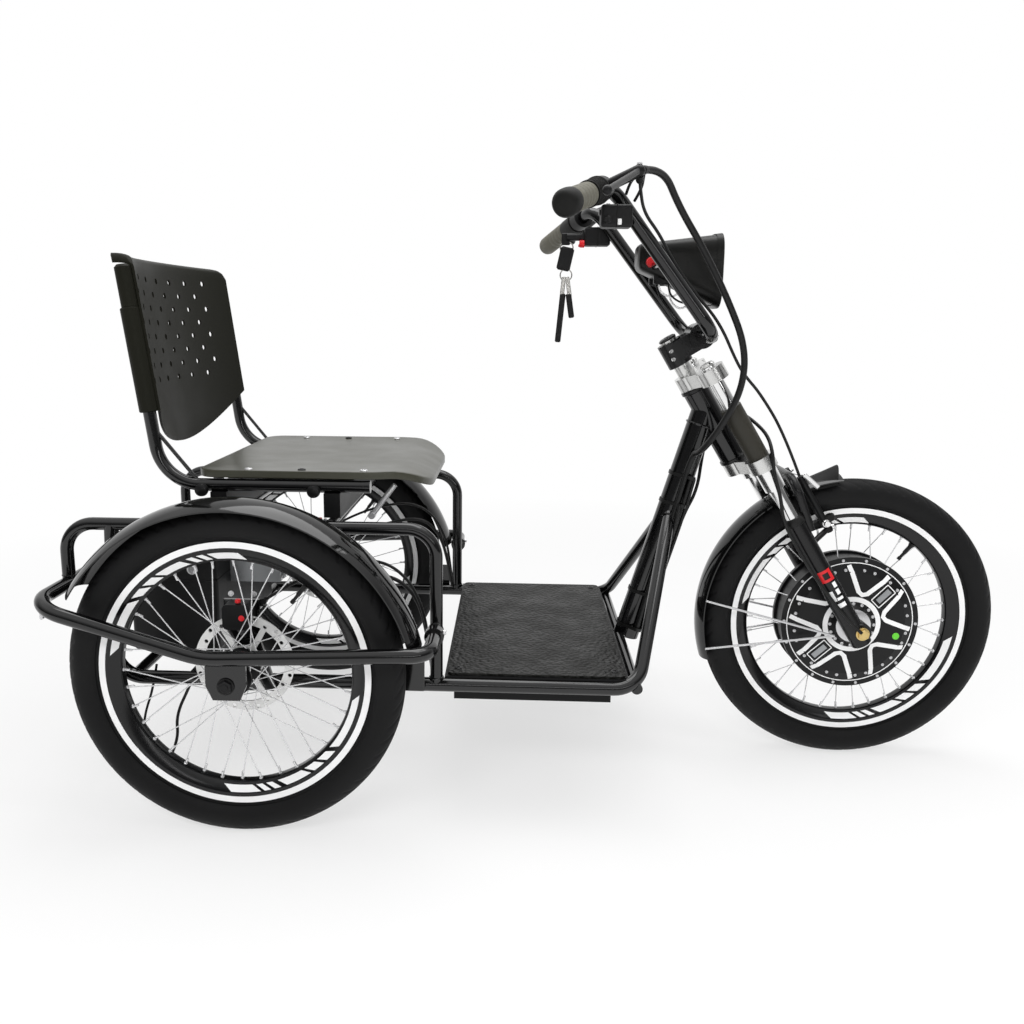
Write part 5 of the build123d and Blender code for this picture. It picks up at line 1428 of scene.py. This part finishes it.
def rear_cables():
    """The rear brakes' hoses, the feed cables and two loose leads that hang under the frame."""
    hose = [
        (26, 250, 349), (70, 240, 376), (140, 226, 404), (205, 226, 412), (250, 230, 384), (276, 234, 330),
        (284, 236, 270), (290, 236, 228),
    ]
    feed = [
        (8, 92, 352), (60, 150, 352), (150, 196, 372), (222, 214, 384), (262, 216, 350), (280, 220, 290),
        (288, 228, 232),
    ]
    for name, side in (("left", 1), ("right", -1)):
        cable(f"{name}_brake_hose", [at(x, side * y, z) for x, y, z in hose], 5, "frame")
        cable(f"{name}_feed_cable", [at(x, side * y, z) for x, y, z in feed], 6.5, "frame")
    rows = [
        # diameter, places
        (5, [(-92, -238, 232), (-104, -246, 200), (-128, -250, 150), (-126, -250, 108), (-140, -250, 80)]),
        (4, [(-160, -238, 232), (-164, -246, 196), (-180, -250, 150), (-182, -250, 122), (-168, -250, 104)]),
    ]
    for number, (diameter, route) in enumerate(rows):
        points = [at(*point) for point in route]
        cable(f"loose_lead_{number}", points, diameter, "frame")


def battery_fittings():
    """A seam, a handle, two latches and a lock on the battery's case, and screws on the controller."""
    dark = Pile()
    dark.box(at(-155, 0, 352), (151.4, 331.4, 3), edge=0.6)
    dark.box(at(-155, 0, 394), (30, 150, 8), edge=3)
    for y in (-60, 60):
        dark.box(at(-230.5, y, 350), (5, 26, 34), edge=1.5)
    dark.piece("battery_trim", "case_plastic", "frame")
    bright = Pile()
    bright.lathe([(9, 0), (9, 3), (7, 4), (3, 4), (2.6, 2)], at(-120, -165, 372), LEFT * -1, sides=32)
    for y in (-88, 88):
        for z in (338, 384):
            bright.bolt(at(8, y, z), FORWARD, 3.4, 2.4)
    bright.piece("case_screws", "steel", "frame")


def board_fittings():
    """Countersunk screws at the mat's corners and bolts under the tray."""
    pile = Pile()
    for x in (330, 580):
        for y in (-228, 228):
            pile.bolt(at(x, y, 234.1), UP, 6, 1.6)
    for x in (360, 540):
        for y in (-180, 180):
            pile.nut(at(x, y, 187), UP * -1, 12, 7)
    pile.piece("board_screws", "mount_steel", "frame")


# Light, floor and camera

FLOOR_COLOUR = (0.93, 0.93, 0.93, 1)
FLOOR_REACH = 9.0
FLOOR_NEAR = 0.62                   # the floor's own white near the trike
WORLD_LIGHT = 0.5
SKY_LOW = 0.14                      # what polish sees low on the right. It sees 1 overhead and on the left
SKY_RISE = (0.25, 0.75)             # from low to overhead
SKY_ACROSS = (-0.1, 0.6)            # from the right to the left
FLOOR_FADE = (0.8, 2.4)             # metres from the middle, from the floor's own white to full white
SOFTBOXES = [
    # name, place, target, width and height, power, whether polish shows it
    ("key", (-0.9, -2.6, 2.4), (0, 0, 0.4), (2.2, 0.5), 40, False),
    ("top", (0.2, 0.3, 3.2), (0, 0, 0.3), (3.0, 1.8), 50, True),
    ("strip", (0.6, -2.6, 1.1), (0, 0, 0.5), (2.6, 0.18), 6, True),
    ("side", (2.6, -1.4, 1.6), (0.2, 0, 0.4), (0.4, 1.4), 14, False),
]


def either(tree, *names):
    """1 for the kinds of rays that are named, otherwise 0."""
    path = tree.nodes.new("ShaderNodeLightPath")
    value = path.outputs[names[0]]
    for name in names[1:]:
        value = combine(tree, "MAXIMUM", value, path.outputs[name])
    return value


def world():
    """A white surround: it lights the trike at a lower level, and in polish it is dimmer low on the right."""
    place = bpy.data.worlds.new("studio")
    bpy.context.scene.world = place
    place.use_nodes = True
    tree = place.node_tree
    back = tree.nodes["Background"]
    back.inputs["Color"].default_value = (1, 1, 1, 1)
    shown = turned_into(tree, either(tree, "Is Camera Ray", "Is Transmission Ray"), (0, 1), (WORLD_LIGHT, 1))
    parts = tree.nodes.new("ShaderNodeSeparateXYZ")
    tree.links.new(own_place(tree, "Generated"), parts.inputs["Vector"])
    overhead = turned_into(tree, parts.outputs["Z"], SKY_RISE, (SKY_LOW, 1))
    beyond = turned_into(tree, parts.outputs["Y"], SKY_ACROSS, (SKY_LOW, 1))
    polish = combine(tree, "MAXIMUM", overhead, beyond)
    mix = tree.nodes.new("ShaderNodeMix")
    tree.links.new(either(tree, "Is Glossy Ray"), mix.inputs["Factor"])
    tree.links.new(shown, mix.inputs["A"])
    tree.links.new(polish, mix.inputs["B"])
    tree.links.new(mix.outputs["Result"], back.inputs["Strength"])


def floor():
    """A pale floor that turns into the white surround further out."""
    mesh = bpy.data.meshes.new("floor")
    corners = [(x * FLOOR_REACH, y * FLOOR_REACH, 0) for x, y in ((-1, -1), (1, -1), (1, 1), (-1, 1))]
    mesh.from_pydata(corners, [], [(0, 1, 2, 3)])
    piece = placed("floor", mesh)
    material, tree, shader = shader_of("floor")
    shader.inputs["Base Color"].default_value = FLOOR_COLOUR
    shader.inputs["Roughness"].default_value = 0.8
    shader.inputs["Specular IOR Level"].default_value = 0.1
    white = tree.nodes.new("ShaderNodeEmission")
    distance = tree.nodes.new("ShaderNodeVectorMath")
    distance.operation = "LENGTH"
    tree.links.new(own_place(tree), distance.inputs[0])
    fade = turned_into(tree, distance.outputs["Value"], FLOOR_FADE, (FLOOR_NEAR, 1))
    seen = either(tree, "Is Camera Ray", "Is Glossy Ray", "Is Transmission Ray")
    mix = tree.nodes.new("ShaderNodeMixShader")
    tree.links.new(combine(tree, "MULTIPLY", seen, fade), mix.inputs["Fac"])
    tree.links.new(shader.outputs["BSDF"], mix.inputs[1])
    tree.links.new(white.outputs["Emission"], mix.inputs[2])
    tree.links.new(mix.outputs["Shader"], tree.nodes["Material Output"].inputs["Surface"])
    mesh.materials.append(material)


def softbox(name, place, target, size, power, in_polish):
    """A lamp of some width and height, turned to a target. Polish shows it or not."""
    data = bpy.data.lights.new(name, "AREA")
    data.shape = "RECTANGLE"
    data.size, data.size_y = size
    data.energy = power
    lamp = placed(name, data)
    lamp.location = place
    lamp.visible_glossy = in_polish
    lamp.rotation_euler = (Vector(target) - Vector(place)).to_track_quat("-Z", "Y").to_euler()


def camera():
    """The photograph's camera."""
    data = bpy.data.cameras.new("camera")
    data.sensor_width = SENSOR
    data.lens = CAMERA_FOCAL / PHOTO_SIZE * SENSOR
    data.shift_x = (PHOTO_SIZE / 2 - CAMERA_MIDDLE[0]) / PHOTO_SIZE
    data.shift_y = (CAMERA_MIDDLE[1] - PHOTO_SIZE / 2) / PHOTO_SIZE
    level = Vector((sin(CAMERA_YAW), cos(CAMERA_YAW), 0))
    right = Vector((cos(CAMERA_YAW), -sin(CAMERA_YAW), 0))
    ahead = level * cos(CAMERA_PITCH) - UP * sin(CAMERA_PITCH)
    above = UP * cos(CAMERA_PITCH) + level * sin(CAMERA_PITCH)
    across = right * cos(CAMERA_ROLL) + above * sin(CAMERA_ROLL)
    upright = above * cos(CAMERA_ROLL) - right * sin(CAMERA_ROLL)
    turn = Matrix((across, upright, -ahead)).transposed()
    eye = placed("camera", data)
    eye.matrix_world = Matrix.Translation(at(*CAMERA_PLACE)) @ turn.to_4x4()
    bpy.context.scene.camera = eye


def wheels():
    """Everything on the three wheels."""
    for name in WHEELS:
        body = f"{name}_wheel"
        tyre(name, body)
        rim(name, body)
        nipples(name, body)
    rear_wheel_fittings("rear_left", 1, "rear_left_wheel")
    rear_wheel_fittings("rear_right", -1, "rear_right_wheel")
    motor_cover(1)
    motor_cover(-1)
    motor_dot()


camera()
dress_nodes()
main_cables()
motor_cable()
control_wires()
wheels()
axles()
calipers()
fork_marks()
fork_fittings()
stem_fittings()
front_brake()
fender_tip()
grips()
lever_fittings()
switch_fittings()
keys()
headlamp()
lamp_wires()
seat()
backrest()
seat_fittings()
welds()
guard_clamps()
harness()
rear_cables()
battery_fittings()
board_fittings()
world()
floor()
for row in SOFTBOXES:
    softbox(*row)
bpy.context.scene.view_settings.view_transform = "Standard"
